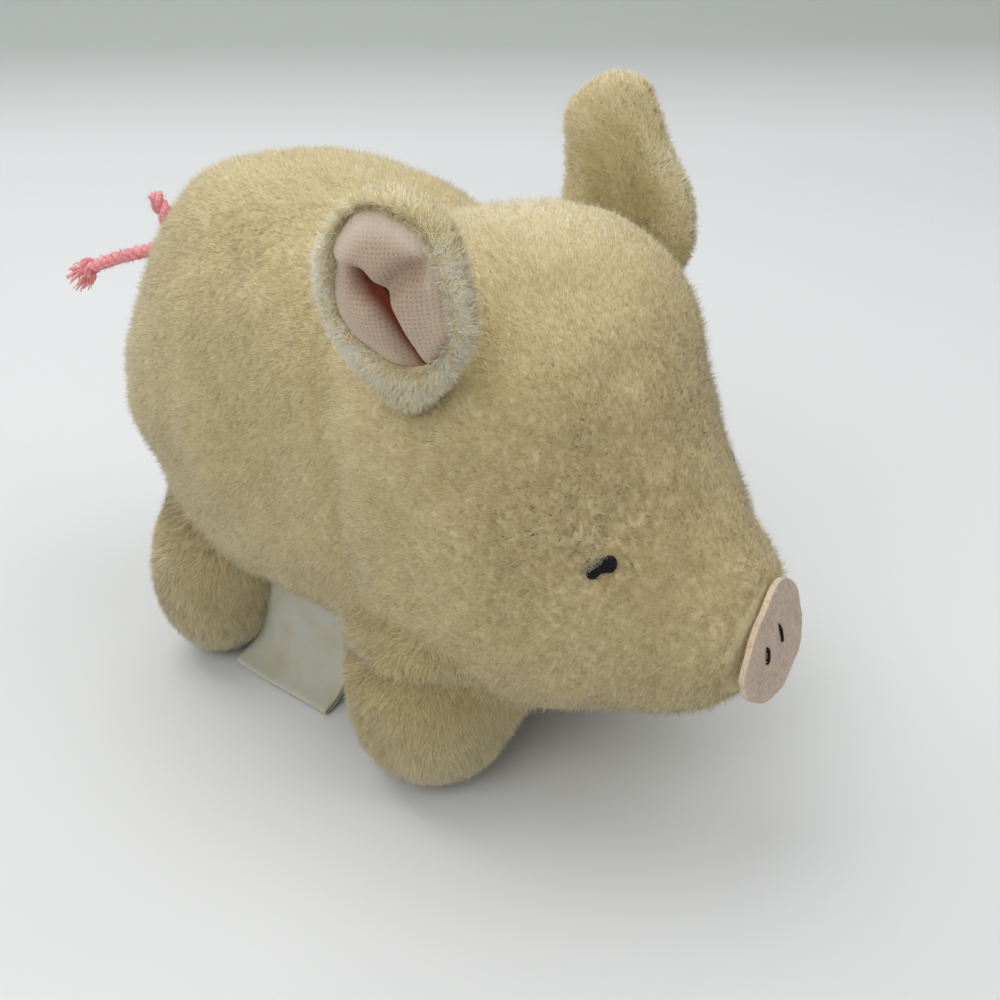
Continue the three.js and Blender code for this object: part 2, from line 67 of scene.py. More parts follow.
def makeCamera():
    around, above = math.radians(cameraSet["azimuth"]), math.radians(cameraSet["elevation"])
    back = Vector((
        math.sin(around) * math.cos(above), -math.cos(around) * math.cos(above), math.sin(above),
    ))
    bpy.ops.object.camera_add()
    camera = bpy.context.object
    camera.name = "photoCamera"
    camera.data.lens = cameraSet["lens"]
    camera.data.sensor_width = cameraSet["sensor"]
    camera.data.clip_start, camera.data.clip_end = cameraSet["clip"]
    camera.rotation_mode = "QUATERNION"
    camera.location = cameraSet["target"] + back * cameraSet["distance"]
    roll = Quaternion((0, 0, 1), math.radians(cameraSet["roll"]))
    camera.rotation_quaternion = (-back).to_track_quat("-Z", "Y") @ roll
    bpy.context.scene.camera = camera


makeCamera()
print("camera made")


# Small helpers for meshes
def selectOnly(*pieces):
    bpy.ops.object.select_all(action="DESELECT")
    for piece in pieces:
        piece.select_set(True)
    bpy.context.view_layer.objects.active = pieces[0]


def applyModifier(piece, kind, **values):
    selectOnly(piece)
    modifier = piece.modifiers.new(kind.lower(), kind)
    for key, value in values.items():
        setattr(modifier, key, value)
    bpy.ops.object.modifier_apply(modifier=modifier.name)


def onWholeMesh(piece, operator, **values):
    selectOnly(piece)
    bpy.ops.object.mode_set(mode="EDIT")
    bpy.ops.mesh.select_all(action="SELECT")
    operator(**values)
    bpy.ops.object.mode_set(mode="OBJECT")


def newObject(name, mesh):
    piece = bpy.data.objects.new(name, mesh)
    bpy.context.collection.objects.link(piece)
    return piece


def meshPiece(name, points, faces, uvs=None):
    mesh = bpy.data.meshes.new(name)
    mesh.from_pydata([tuple(p) for p in points], [], [tuple(f) for f in faces])
    if uvs is not None:
        layer = mesh.uv_layers.new(name="UVMap")
        corners = np.empty(len(mesh.loops), np.int32)
        mesh.loops.foreach_get("vertex_index", corners)
        layer.data.foreach_set("uv", np.asarray(uvs, np.float32)[corners].ravel())
    mesh.update()
    piece = newObject(name, mesh)
    selectOnly(piece)
    bpy.ops.object.shade_smooth()
    return piece


def addValues(piece, name, values):
    # one number for each point of the mesh, for a material to read
    layer = piece.data.attributes.new(name, "FLOAT", "POINT")
    layer.data.foreach_set("value", np.clip(values, 0, 1).astype(np.float32))


def finished(piece, body, material, stands=()):
    # the piece's material, body and slot, and the nodes of the part that it stands for
    piece.data.materials.clear()
    piece.data.materials.append(material)
    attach(piece, body)
    if stands:
        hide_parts(*stands)


# Small helpers for numbers
def unit(vectors):
    return vectors / np.maximum(np.linalg.norm(vectors, axis=-1, keepdims=True), 1e-12)


def bell(gap, width):
    # 1 at no gap, fading to nothing a few widths away
    return np.exp(-(gap / width) ** 2)


def farFrom(points, place):
    return np.linalg.norm(points - place, axis=1)


def climb(value, start, reach):
    # 0 up to the start, then rising to 1 at a reach past it
    return np.clip((value - start) / reach, 0, 1)


def distanceAlong(line):
    return np.concatenate([[0], np.cumsum(np.linalg.norm(np.diff(line, axis=0), axis=1))])


def smoothRoute(points, count):
    # a smooth line through all the points as evenly spaced places, and its length
    rows = [np.array(p, float) for p in points]
    rows = [2 * rows[0] - rows[1], *rows, 2 * rows[-1] - rows[-2]]
    line = []
    for a, b, c, d in zip(rows, rows[1:], rows[2:], rows[3:]):
        for t in np.linspace(0, 1, 24, endpoint=False):
            line.append(0.5 * (
                2 * b + (c - a) * t + (2 * a - 5 * b + 4 * c - d) * t * t
                + (3 * b - a - 3 * c + d) * t ** 3
            ))
    line.append(rows[-2])
    line = np.array(line)
    along = distanceAlong(line)
    at = np.linspace(0, along[-1], count)
    return np.stack([np.interp(at, along, line[:, k]) for k in range(3)], axis=1), along[-1]


def carriedFrames(line):
    # two directions square to the line, carried along it without a twist
    ways = unit(np.gradient(line, axis=0))
    side = np.cross(ways[0], (0.3, 0.2, 1))
    sides = []
    for way in ways:
        side = side - way * (side @ way)
        side = side / np.linalg.norm(side)
        sides.append(side)
    sides = np.array(sides)
    return sides, np.cross(ways, sides)


def roundWays(turn, sides, ups):
    # the direction at each turn between the one to the side and the one up
    return np.cos(turn)[..., None] * sides + np.sin(turn)[..., None] * ups


def twisted(line, plies, offset, pitch, phase=0.0):
    # the lines of the plies that turn round each other along this one
    sides, ups = carriedFrames(line)
    along = distanceAlong(line)
    turns = ((along / pitch + ply / plies) * 2 * math.pi + phase for ply in range(plies))
    return [line + offset * roundWays(turn, sides, ups) for turn in turns]


def ringFaces(rings, around, start=0, tube=False):
    # four-sided faces from each ring of points to the next
    faces = []
    for a in range(start, start + (rings - 1) * around, around):
        for step in range(around):
            following = (step + 1) % around
            b = a + around
            face = (a + step, b + step, b + following, a + following)
            faces.append((face[0], face[3], face[2], face[1]) if tube else face)
    return faces


def tubeRings(line, radii, around):
    # rings of points round a line, closed at both ends, with a length and a turn for each point
    sides, ups = carriedFrames(line)
    turn = np.arange(around) / around * 2 * math.pi
    radii = np.broadcast_to(radii, len(line))[:, None, None]
    rings = line[:, None] + radii * roundWays(turn[None], sides[:, None], ups[:, None])
    points = [*rings.reshape(-1, 3), line[0], line[-1]]
    along = distanceAlong(line)
    uvs = [(step / around, place / mm) for place in along for step in range(around)]
    uvs += [(0.5, 0), (0.5, along[-1] / mm)]
    faces = ringFaces(len(line), around, tube=True)
    first, last, end = len(points) - 2, len(points) - 1, (len(line) - 1) * around
    for step in range(around):
        following = (step + 1) % around
        faces.append((first, following, step))
        faces.append((last, end + step, end + following))
    return points, faces, uvs


def joinedRings(name, parts):
    points, faces, uvs = [], [], []
    for somePoints, someFaces, someUvs in parts:
        start = len(points)
        points += list(somePoints)
        uvs += list(someUvs)
        faces += [tuple(corner + start for corner in face) for face in someFaces]
    return meshPiece(name, points, faces, uvs)


def waves(points, wavelength, seed, count=10):
    # a smooth wandering value of about -1 to 1 at each point
    rng = np.random.default_rng(seed)
    ways = unit(rng.normal(size=(count, 3))) * (2 * math.pi / wavelength)
    ways = ways * rng.uniform(0.6, 1.5, size=(count, 1))
    phases = rng.uniform(0, 2 * math.pi, size=count)
    return np.sin(points @ ways.T + phases).sum(1) / math.sqrt(count) * 1.2


# Materials
def addNode(tree, kind, feeds=(), **settings):
    # each feed is a value for the input of that name, or the socket that goes into it
    node = tree.nodes.new("ShaderNode" + kind)
    for key, value in settings.items():
        setattr(node, key, value)
    for key, value in dict(feeds).items():
        if isinstance(value, bpy.types.NodeSocket):
            tree.links.new(value, node.inputs[key])
        else:
            node.inputs[key].default_value = value
    return node


def newGroup(name, inputs):
    # a group that takes these inputs and puts out a colour and a height
    group = bpy.data.node_groups.new(name, "ShaderNodeTree")
    kinds = {3: "NodeSocketVector", 4: "NodeSocketColor"}
    for label, value in inputs.items():
        kind = kinds[len(value)] if isinstance(value, tuple) else "NodeSocketFloat"
        socket = group.interface.new_socket(label, in_out="INPUT", socket_type=kind)
        socket.default_value = value
    for label, kind in (("Color", "NodeSocketColor"), ("Height", "NodeSocketFloat")):
        group.interface.new_socket(label, in_out="OUTPUT", socket_type=kind)
    given, result = (group.nodes.new("NodeGroup" + end) for end in ("Input", "Output"))
    return group, given.outputs, result.inputs


def tinted(tree, share, first, second):
    # the first colour, and the second as the share rises
    node = addNode(tree, "Mix", {"Factor": share, "A": first, "B": second}, data_type="RGBA")
    return node.outputs["Result"]


def ownMap(tree, name="UVMap"):
    return addNode(tree, "UVMap", uv_map=name).outputs["UV"]


def rampOf(tree, source, tones):
    # a colour for each source value, from places and their colours in order
    ramp = addNode(tree, "ValToRGB", {"Fac": source})
    stops = ramp.color_ramp.elements
    for place, colour in tones[1:-1]:
        stops.new(place).color = colour
    stops[0].position, stops[0].color = tones[0]
    stops[-1].position, stops[-1].color = tones[-1]
    return ramp.outputs["Color"]


def makeMottleGroup():
    # matted fibres: a fine streaky grain over broad soft blotches
    group, given, result = newGroup("mattedFibre", {
        "Vector": (0, 0, 0), "Grain": 900.0, "Blotch": 60.0, "Stretch": 0.35,
        "Dark": (0.2, 0.2, 0.2, 1), "Light": (0.8, 0.8, 0.8, 1),
    })
    squeeze = addNode(group, "CombineXYZ", {"X": 1, "Y": 1, "Z": given["Stretch"]})
    scaled = addNode(group, "VectorMath", {
        0: given["Vector"], 1: squeeze.outputs["Vector"],
    }, operation="MULTIPLY")
    grain = addNode(group, "TexNoise", {
        "Detail": 3, "Distortion": 0.6, "Vector": scaled.outputs["Vector"], "Scale": given["Grain"],
    })
    blotch = addNode(group, "TexNoise", {
        "Detail": 2, "Vector": given["Vector"], "Scale": given["Blotch"],
    })
    both = addNode(group, "Mix", {
        "Factor": 0.4, "A": grain.outputs["Fac"], "B": blotch.outputs["Fac"],
    })
    spread = addNode(group, "MapRange", {
        "From Min": 0.34, "From Max": 0.66, "Value": both.outputs["Result"],
    })
    group.links.new(
        tinted(group, spread.outputs["Result"], given["Dark"], given["Light"]), result["Color"],
    )
    group.links.new(grain.outputs["Fac"], result["Height"])
    return group


def makeWeaveGroup():
    # a plain weave: threads over and under each other in both directions
    group, given, result = newGroup("plainWeave", {
        "Vector": (0, 0, 0), "Threads": 1.0, "Gap": (0.2, 0.2, 0.2, 1),
        "Thread": (0.8, 0.8, 0.8, 1), "Uneven": 0.4,
    })
    wobble = addNode(group, "TexNoise", {"Scale": 0.7, "Detail": 2, "Vector": given["Vector"]})
    pushed = addNode(group, "VectorMath", {
        0: wobble.outputs["Color"], 1: (0.5, 0.5, 0), 2: given["Vector"],
    }, operation="MULTIPLY_ADD")
    threads = [addNode(group, "TexWave", {
        "Distortion": 0, "Vector": pushed.outputs["Vector"], "Scale": given["Threads"],
    }, bands_direction=direction).outputs["Fac"] for direction in ("X", "Y")]
    crossing = addNode(group, "Math", dict(enumerate(threads)), operation="MULTIPLY")
    holes = addNode(group, "MapRange", {
        "From Min": 0.35, "From Max": 0.95, "To Min": 1, "To Max": 0,
        "Value": crossing.outputs["Value"],
    })
    lint = addNode(group, "TexNoise", {"Scale": 2.6, "Detail": 3, "Vector": given["Vector"]})
    patchy = addNode(group, "Mix", {
        "Factor": given["Uneven"], "A": holes.outputs["Result"], "B": lint.outputs["Fac"],
    }).outputs["Result"]
    group.links.new(tinted(group, patchy, given["Gap"], given["Thread"]), result["Color"])
    group.links.new(patchy, result["Height"])
    return group


mattedFibre = makeMottleGroup()
plainWeave = makeWeaveGroup()


def newMaterial(name, roughness, sheen=0):
    material = bpy.data.materials.new(name)
    material.use_nodes = True
    shader = material.node_tree.nodes["Principled BSDF"].inputs
    shader["Roughness"].default_value = roughness
    shader["Specular IOR Level"].default_value = 0.2
    if sheen:
        shader["Sheen Weight"].default_value = sheen
        shader["Sheen Roughness"].default_value = 0.6
    return material, material.node_tree, shader


def surfaced(tree, shader, colour, height, strength, distance):
    # the colour and the relief of a material
    bump = addNode(tree, "Bump", {"Strength": strength, "Distance": distance, "Height": height})
    tree.links.new(colour, shader["Base Color"])
    tree.links.new(bump.outputs["Normal"], shader["Normal"])


def mottledMaterial(name, dark, light, grain, blotch, stretch, bumpDepth, roughness=0.95,
                    sheen=0.0, bumpStrength=0.8, edgeColour=None):
    material, tree, shader = newMaterial(name, roughness, sheen)
    place = addNode(tree, "TexCoord")
    fibre = addNode(tree, "Group", {
        "Vector": place.outputs["Object"], "Grain": grain, "Blotch": blotch, "Stretch": stretch,
        "Dark": dark, "Light": light,
    }, node_tree=mattedFibre)
    colour = fibre.outputs["Color"]
    if edgeColour:
        edge = addNode(tree, "Attribute", attribute_name="cutEdge")
        colour = tinted(tree, edge.outputs["Fac"], colour, edgeColour)
    surfaced(tree, shader, colour, fibre.outputs["Height"], bumpStrength, bumpDepth)
    return material


def streakedMaterial(name, finish, noise, tones, bump, mapping=None):
    # thread or yarn, streaked along its own map
    material, tree, shader = newMaterial(name, *finish)
    place = ownMap(tree)
    if mapping:
        place = addNode(tree, "Mapping", {"Vector": place, **mapping}).outputs["Vector"]
    streaks = addNode(tree, "TexNoise", {"Vector": place, **noise}).outputs["Fac"]
    surfaced(tree, shader, rampOf(tree, streaks, tones), streaks, *bump)
    return material


def wovenCloth(tree, threadPitch, gap, thread, uneven):
    # the weave on a piece's own map, which is in mm
    return addNode(tree, "Group", {
        "Vector": ownMap(tree), "Threads": math.pi / 10 / threadPitch, "Gap": gap,
        "Thread": thread, "Uneven": uneven,
    }, node_tree=plainWeave)


def pileMaterial(name, tones, rootShade, sheen=0.15):
    # the strand's own map: across it the tone, along it the way from root to tip
    material, tree, shader = newMaterial(name, 0.9, sheen)
    parts = addNode(tree, "SeparateXYZ", {"Vector": ownMap(tree, "OFBake")})
    shade = addNode(tree, "MapRange", {
        "To Min": rootShade, "To Max": 1, "Value": parts.outputs["Y"],
    })
    darker = addNode(tree, "VectorMath", {
        0: rampOf(tree, parts.outputs["X"], tones), "Scale": shade.outputs["Result"],
    }, operation="SCALE")
    tree.links.new(darker.outputs["Vector"], shader["Base Color"])
    return material


# Tail: two plies of yarn twisted round the cord's route, with its knot and frayed end
tailSet = {
    "root": np.array((-76.98, 0, 87.5)) * mm, "rootDepth": 1.4 * mm, "diameter": 3.2 * mm,
    "curl": np.array([
        (-84.5, 0.3, 90.5), (-87.0, 0.6, 95.0), (-88.6, 1.0, 99.2), (-90.6, 1.6, 100.5),
        (-92.2, 2.2, 99.0), (-91.5, 2.8, 97.0), (-89.2, 3.3, 96.3), (-86.7, 3.6, 94.4),
        (-85.7, 3.6, 91.2), (-87.6, 3.5, 88.0), (-91.6, 3.1, 86.6),
    ]) * mm,
    "strand": np.array([
        (-96.9, 2.5, 85.8), (-104.0, 2.5, 83.3), (-111.4, 2.3, 80.8), (-118.0, 2.1, 78.2),
        (-124.4, 2.0, 75.6),
    ]) * mm,
    "plies": 2, "plyRadius": 0.98 * mm, "plyOffset": 0.72 * mm, "pitch": 6.6 * mm,
    "steps": 420, "around": 10, "hairs": 5200, "hairLength": 1.3 * mm, "hairWidth": 0.11 * mm,
}
knotSet = {
    "radius": 1.9 * mm, "plies": 3, "plyRadius": 0.62 * mm, "plyOffset": 0.42 * mm,
    "pitch": 5 * mm, "steps": 90, "around": 8, "hairs": 500, "hairLength": 1.4 * mm,
    "ahead": 0.9, "big": 0.62, "small": 0.4,
}
tuftSet = {
    "strands": 95, "length": 5.5 * mm, "spread": 3.3 * mm, "drop": 1.4 * mm,
    "rootSpread": 1.1 * mm, "radii": np.linspace(0.24, 0.16, 14) * mm, "around": 5,
}
looseSet = {        # the loose thread, by how far it runs on, up and aside from the knot
    "route": [(1.5, 0, 0), (6, 1.2, 0), (9.6, 2.4, 1.2)],
    "radii": np.linspace(0.2, 0.1, 30) * mm, "around": 6,
}
yarnTones = [
    (0, srgb(242, 116, 124)), (0.35, srgb(255, 154, 158)), (0.7, srgb(255, 184, 184)),
    (1, srgb(255, 220, 214)),
]


def strandMesh(name, roots, tips, widths, tones, across, normals, twoSided=0.0):
    # thin pointed strands, one triangle each, that take the light as the surface under them does;
    # a two-sided strand is a thin wedge of two triangles
    half = across * np.broadcast_to(widths, len(roots))[:, None] / 2
    turned = ((np.cross(half, tips - roots) * normals).sum(1) < 0)[:, None]
    half = np.where(turned, -half, half)
    sides = [(roots - half, roots + half)]
    if twoSided:
        square = unit(np.cross(half, tips - roots))
        behind = square * -twoSided
        sides.append((roots + half + behind, roots - half + behind))
        mirrored = normals - 2 * square * (normals * square).sum(1, keepdims=True)
        normals = np.concatenate([normals, mirrored])
    corners = np.concatenate([np.stack([a, b, tips], axis=1) for a, b in sides]).reshape(-1, 3)
    count = len(corners) // 3
    tones = np.tile(tones, len(sides))
    mesh = bpy.data.meshes.new(name)
    mesh.vertices.add(count * 3)
    mesh.vertices.foreach_set("co", corners.astype(np.float32).ravel())
    mesh.loops.add(count * 3)
    mesh.loops.foreach_set("vertex_index", np.arange(count * 3, dtype=np.int32))
    mesh.polygons.add(count)
    mesh.polygons.foreach_set("loop_start", np.arange(count, dtype=np.int32) * 3)
    layer = mesh.uv_layers.new(name="OFBake")
    slim = 0.004
    low, high = np.clip(tones - slim, 0.001, 0.99), np.clip(tones + slim, 0.01, 0.999)
    acrossMap = np.stack([low, high, (low + high) / 2], axis=1)
    uvs = np.stack([acrossMap, np.broadcast_to((0.02, 0.02, 0.98), acrossMap.shape)], axis=2)
    layer.data.foreach_set("uv", uvs.astype(np.float32).ravel())
    mesh.update(calc_edges=True)
    mesh.shade_smooth()
    mesh.normals_split_custom_set_from_vertices(np.repeat(normals, 3, axis=0).tolist())
    return newObject(name, mesh)


def hairsAlong(name, lines, own, seed):
    # loose fibres that stand off a bundle of thin lines
    rng = np.random.default_rng(seed)
    count = own["hairs"]
    picks = rng.integers(0, len(lines), count)
    lines = np.array(lines)
    places = rng.integers(2, lines.shape[1] - 2, count)
    roots = lines[picks, places]
    ways = unit(lines[picks, places + 1] - lines[picks, places - 1])
    out = unit(np.cross(ways, rng.normal(size=(count, 3))))
    side = np.cross(ways, out)
    lean = ways * rng.normal(0, 0.9, (count, 1)) + side * rng.normal(0, 0.6, (count, 1))
    long = own["hairLength"] * rng.uniform(0.4, 1.3, count)[:, None]
    roots = roots + out * own["plyRadius"] * 0.8
    tips = roots + unit(out * 0.8 + lean) * long
    across = unit(np.cross(tips - roots, rng.normal(size=(count, 3))))
    tones = rng.uniform(0.2, 0.95, count)
    return strandMesh(name, roots, tips, tailSet["hairWidth"], tones, across, out)


def plyTubes(name, plies, own):
    return joinedRings(name, [tubeRings(ply, own["plyRadius"], own["around"]) for ply in plies])


def makeTail():
    root = tailSet["root"]
    start = [root + (tailSet["rootDepth"], 0, 0), root - (tailSet["diameter"], 0, 0)]
    line, length = smoothRoute([*start, *tailSet["curl"], *tailSet["strand"]], tailSet["steps"])
    plies = twisted(line, tailSet["plies"], tailSet["plyOffset"], tailSet["pitch"])
    cord = plyTubes("tail_yarn", plies, tailSet)

    # the knot: a thick turn of the same yarn over and under itself
    end, way = line[-1], unit(line[-1] - line[-4])
    side = unit(np.cross(way, (0, 0, 1)))
    rise = np.cross(side, way)
    centre = end + way * (knotSet["radius"] * knotSet["ahead"])
    turns = np.linspace(0, 2 * math.pi, knotSet["steps"])
    big, small = knotSet["radius"] * knotSet["big"], knotSet["radius"] * knotSet["small"]
    reach = big + small * np.cos(3 * turns)
    onward = (small * np.sin(3 * turns))[:, None] * way
    knotLine = centre + reach[:, None] * roundWays(2 * turns, side, rise) + onward
    knotPlies = twisted(knotLine, knotSet["plies"], knotSet["plyOffset"], knotSet["pitch"])
    knot = plyTubes("tail_knot_yarn", knotPlies, knotSet)

    # the frayed end: fine yarns that spread past the knot
    rng = np.random.default_rng(31)
    frays = []
    for _ in range(tuftSet["strands"]):
        turn, spread = rng.uniform(0, 2 * math.pi), math.sqrt(rng.uniform(0, 1))
        out = roundWays(turn, side, rise)
        long = tuftSet["length"] * rng.uniform(0.85, 1.05)
        start = centre + way * knotSet["radius"] * 0.5 + out * spread * tuftSet["rootSpread"]
        finish = start + way * long + out * spread * tuftSet["spread"] - rise * tuftSet["drop"]
        bow = (start + finish) / 2 + out * rng.normal(0.2, 0.5) * mm
        bow = bow + side * rng.normal(0, 0.4) * mm
        fray, _ = smoothRoute([start, bow, finish], len(tuftSet["radii"]))
        frays.append(tubeRings(fray, tuftSet["radii"], tuftSet["around"]))
    tuft = joinedRings("tail_frayed_end", frays)

    # one long beige thread caught in the fray
    loose, _ = smoothRoute([
        centre + way * on * mm + rise * up * mm + side * aside * mm
        for on, up, aside in looseSet["route"]
    ], len(looseSet["radii"]))
    stray = joinedRings(
        "tail_loose_thread", [tubeRings(loose, looseSet["radii"], looseSet["around"])],
    )
    fuzz = hairsAlong("tail_fuzz", plies, tailSet, 32)
    knotFuzz = hairsAlong("tail_knot_fuzz", knotPlies, knotSet, 33)

    yarn = streakedMaterial(
        "pinkYarn", (0.85, 0.3), {"Scale": 2.2, "Detail": 4},
        [(0.32, yarnTones[0][1]), (0.5, yarnTones[1][1]), (0.72, yarnTones[3][1])],
        (0.9, 0.35 * mm), {"Scale": (9, 1.1, 1), "Rotation": (0, 0, math.radians(28))},
    )
    fibre = pileMaterial("pinkFibre", yarnTones, 0.85, 0.3)
    pinkFray = mottledMaterial(
        "pinkFray", srgb(250, 142, 146), srgb(255, 212, 206), 1600, 300, 0.5, 0.05 * mm,
    )
    beigeThread = mottledMaterial(
        "beigeThread", srgb(172, 152, 130), srgb(214, 198, 178), 2500, 300, 1, 0.05 * mm,
    )
    for piece, material, stands in (
        (cord, yarn, ["tail_cord"]), (knot, yarn, ["tail_knot"]), (tuft, pinkFray, ["tail_tuft"]),
        (stray, beigeThread, ()), (fuzz, fibre, ()), (knotFuzz, fibre, ()),
    ):
        finished(piece, "tail", material, stands)
    print("tail made,", round(float(length) * 1000, 1), "mm of yarn")


makeTail()


# Floor, backdrop and light
stageSet = {
    "floorReach": 1.6, "wallAt": 0.45, "backdropHeight": 1.2, "curve": 0.12, "curveSteps": 16,
    # the wall's colour is painted shade: it is the same paper as the floor, drawn darker
    "floorColour": srgb(222, 223, 223), "wallShadeColour": srgb(180, 184, 181), "shadeHeight": 0.05,
    "backdropColour": srgb(212, 215, 213), "fill": 0.41, "fillColour": (0.95, 0.98, 1.0, 1),
    "aim": Vector((0, 0, 0.05)),
}
lamps = {
    "key": {"power": 8.1, "size": 0.9, "place": Vector((-0.5, 0.16, 0.92))},
    "front": {"power": 3.2, "size": 0.7, "place": Vector((0.06, -0.74, 0.8))},
    "side": {"power": 2.2, "size": 0.7, "place": Vector((0.5, 0.3, 0.88))},
}


def sheetFaces(rows, wide):
    # four-sided faces between rows of points that don't close on themselves
    return [
        (a, a + 1, a + wide + 1, a + wide)
        for row in range(rows - 1) for a in range(row * wide, row * wide + wide - 1)
    ]


def makeFloor():
    reach, wallAt, curve = stageSet["floorReach"], stageSet["wallAt"], stageSet["curve"]
    around = math.radians(cameraSet["azimuth"])
    back = -Vector((math.sin(around), -math.cos(around), 0))
    side = back.cross(upAxis)
    profile = [(-reach, 0), (wallAt, 0)]
    for step in range(1, stageSet["curveSteps"] + 1):
        turn = step / stageSet["curveSteps"] * math.pi / 2
        profile.append((wallAt + math.sin(turn) * curve, (1 - math.cos(turn)) * curve))
    profile.append((wallAt + curve, stageSet["backdropHeight"]))
    points = [
        back * far + side * width + upAxis * tall
        for far, tall in profile for width in (-reach * 1.5, reach * 1.5)
    ]
    floor = meshPiece("floorSweep", points, sheetFaces(len(profile), 2))
    material, tree, shader = newMaterial("paperSweep", 0.85)
    place = addNode(tree, "TexCoord")
    parts = addNode(tree, "SeparateXYZ", {"Vector": place.outputs["Object"]})
    height = addNode(tree, "MapRange", {
        "From Max": stageSet["shadeHeight"], "Value": parts.outputs["Z"],
    })
    # painted shade: the wall is drawn darker than the floor from shadeHeight up, where it takes
    # less light
    tree.links.new(tinted(
        tree, height.outputs["Result"], stageSet["floorColour"], stageSet["wallShadeColour"],
    ), shader["Base Color"])
    floor.data.materials.append(material)


def makeLight():
    world = bpy.data.worlds.new("studioAir")
    bpy.context.scene.world = world
    world.use_nodes = True
    tree = world.node_tree
    air = tree.nodes["Background"]
    air.inputs["Color"].default_value = stageSet["fillColour"]
    air.inputs["Strength"].default_value = stageSet["fill"]
    seen = addNode(tree, "Background", {"Color": stageSet["backdropColour"]})
    path = addNode(tree, "LightPath").outputs
    share = path["Is Camera Ray"]
    for ray in ("Is Glossy Ray", "Is Transmission Ray"):
        share = addNode(tree, "Math", {0: share, 1: path[ray]}, operation="MAXIMUM").outputs[0]
    both = addNode(tree, "MixShader", {
        "Fac": share, 1: air.outputs["Background"], 2: seen.outputs["Background"],
    })
    tree.links.new(both.outputs["Shader"], tree.nodes["World Output"].inputs["Surface"])

    for name, lamp in lamps.items():
        bpy.ops.object.light_add(type="AREA")
        light = bpy.context.object
        light.name = name + "Light"
        light.data.energy = lamp["power"]
        light.data.size = lamp["size"]
        light.location = lamp["place"]
        light.rotation_mode = "QUATERNION"
        light.rotation_quaternion = (stageSet["aim"] - lamp["place"]).to_track_quat("-Z", "Y")
    bpy.context.scene.view_settings.view_transform = "Standard"


makeFloor()
makeLight()
print("stage made")


# Plush skin: the covers' outer form as one soft surface, then one panel for each cover
skinSet = {
    "voxel": 1.5 * mm, "smoothSteps": 8, "lastSteps": 2, "sink": 0.45 * mm,
    "seamDepth": 0.9 * mm, "seamWidth": 2.6 * mm, "cloth": 1.2 * mm, "lowest": 0.6 * mm,
}
puffSet = {
    "voxel": 4.5 * mm, "heldWidth": 3 * mm, "frames": 20, "most": 2.0 * mm,
    "cloth": {
        "mass": 0.0003, "tension_stiffness": 0.05, "compression_stiffness": 0.05,
        "bending_stiffness": 0.006, "use_pressure": True, "air_damping": 0,
        "uniform_pressure_force": 4,
    },
}
legMoves = {        # the rear legs stand a little further forward than the part's
    "places": [(-55.8, -27), (-55.8, 27)], "shift": 2.8 * mm, "reach": 21 * mm, "top": 46 * mm,
}
# places of the plush and how far it is pressed out (or in) there, all in mm; a third number is
# the share of it on the pig's other side, which is otherwise farShare
skinBulges = [
    ((-59, -19, 103), 0.7), ((-62, -27, 90), -0.5), ((-64, -29, 77), 1.6), ((-60, -33, 62), 1.4),
    ((-57, -8, 110), 2.8), ((-50, 1, 117), -1.4), ((-44, 12, 116), 1.0), ((-15, 22, 107), 2.2),
    ((1, 9, 111), -1.5), ((14, 13, 111), 3.0), ((39, 22, 96), 3.8), ((55, 18, 76), -1.1),
    ((66, 12, 61), -0.1), ((-54, -34, 50), -1.3), ((-60, -32, 40), -1.0), ((-62, -37, 26), 0.6),
    ((-58, -38, 18), 1.0), ((13, -40, 10), 0.6), ((24, -33, 6), 0.9), ((30, -23, 14), 0.5),
    ((39, -21, 25), 0.7), ((58, -13, 28), 0.5), ((70, -7, 34), 1.8),
    ((18, 15, 114), -2.4, 0.2), ((25, 20, 108), 4.7, 0.2), ((33, 24, 103), 2.4, 0.2),
    ((42, 24, 98), -1.3, 0.2), ((-62, -22, 98), -1.1, 0.5),
]
bulgeReach, farShare = 15, 0.7
# lines where the legs leave the body: the plush below the line is drawn in further than above
creaseSet = {
    "lines": [
        [
            (0, -34, 31), (3.4, -38.6, 32.7), (8.9, -41.8, 34.7), (15.3, -43.1, 34.3),
            (22.3, -41.6, 34.5), (26.8, -38.8, 34.6), (31.6, -34.6, 32.3), (33, -32.9, 29.8),
            (36, -28.3, 27.2),
        ],
        [(-66, -24, 43), (-59, -31.8, 42), (-49.5, -34.5, 40.5), (-42, -34, 38.5), (-38, -28, 37)],
    ],
    # tone: painted shade taken off the pile along the creases
    "depth": (3.0, 0.0), "above": 1.8, "below": 5.5, "tone": 0.15, "steps": 60, "fade": 10,
    "softReach": 10, "softSteps": 50,        # the form is smoothed this far from the rear line
}
covers = {"body_cover": "body_plush", "belly_panel": "belly_plush", "head_cover": "head_plush"}
for end in ("front", "rear"):
    for side in ("right", "left"):
        covers[f"{end}_{side}_leg_cover"] = f"{end}_{side}_leg_plush"


def copyOf(name, nodeNames):
    copies = [newObject(name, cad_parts[node].data.copy()) for node in nodeNames]
    selectOnly(*copies)
    bpy.ops.object.join()
    piece = bpy.context.view_layer.objects.active
    piece.data.materials.clear()
    onWholeMesh(piece, bpy.ops.mesh.remove_doubles, threshold=0.001 * mm)
    return piece


def keepLargest(piece):
    onWholeMesh(piece, bpy.ops.mesh.separate, type="LOOSE")
    parts = sorted(bpy.context.selected_objects, key=lambda part: -len(part.data.vertices))
    for part in parts[1:]:
        bpy.data.objects.remove(part)
    return parts[0]


def arraysOf(piece):
    # points, normals and triangles of a piece
    mesh = piece.data
    mesh.calc_loop_triangles()
    arrays = []
    for source, name, kind in (
        (mesh.vertices, "co", float), (mesh.vertices, "normal", float),
        (mesh.loop_triangles, "vertices", np.int64),
    ):
        values = np.empty(len(source) * 3, kind)
        source.foreach_get(name, values)
        arrays.append(values.reshape(-1, 3))
    return arrays


def setPoints(piece, points):
    piece.data.vertices.foreach_set("co", np.asarray(points, np.float32).ravel())
    piece.data.update()


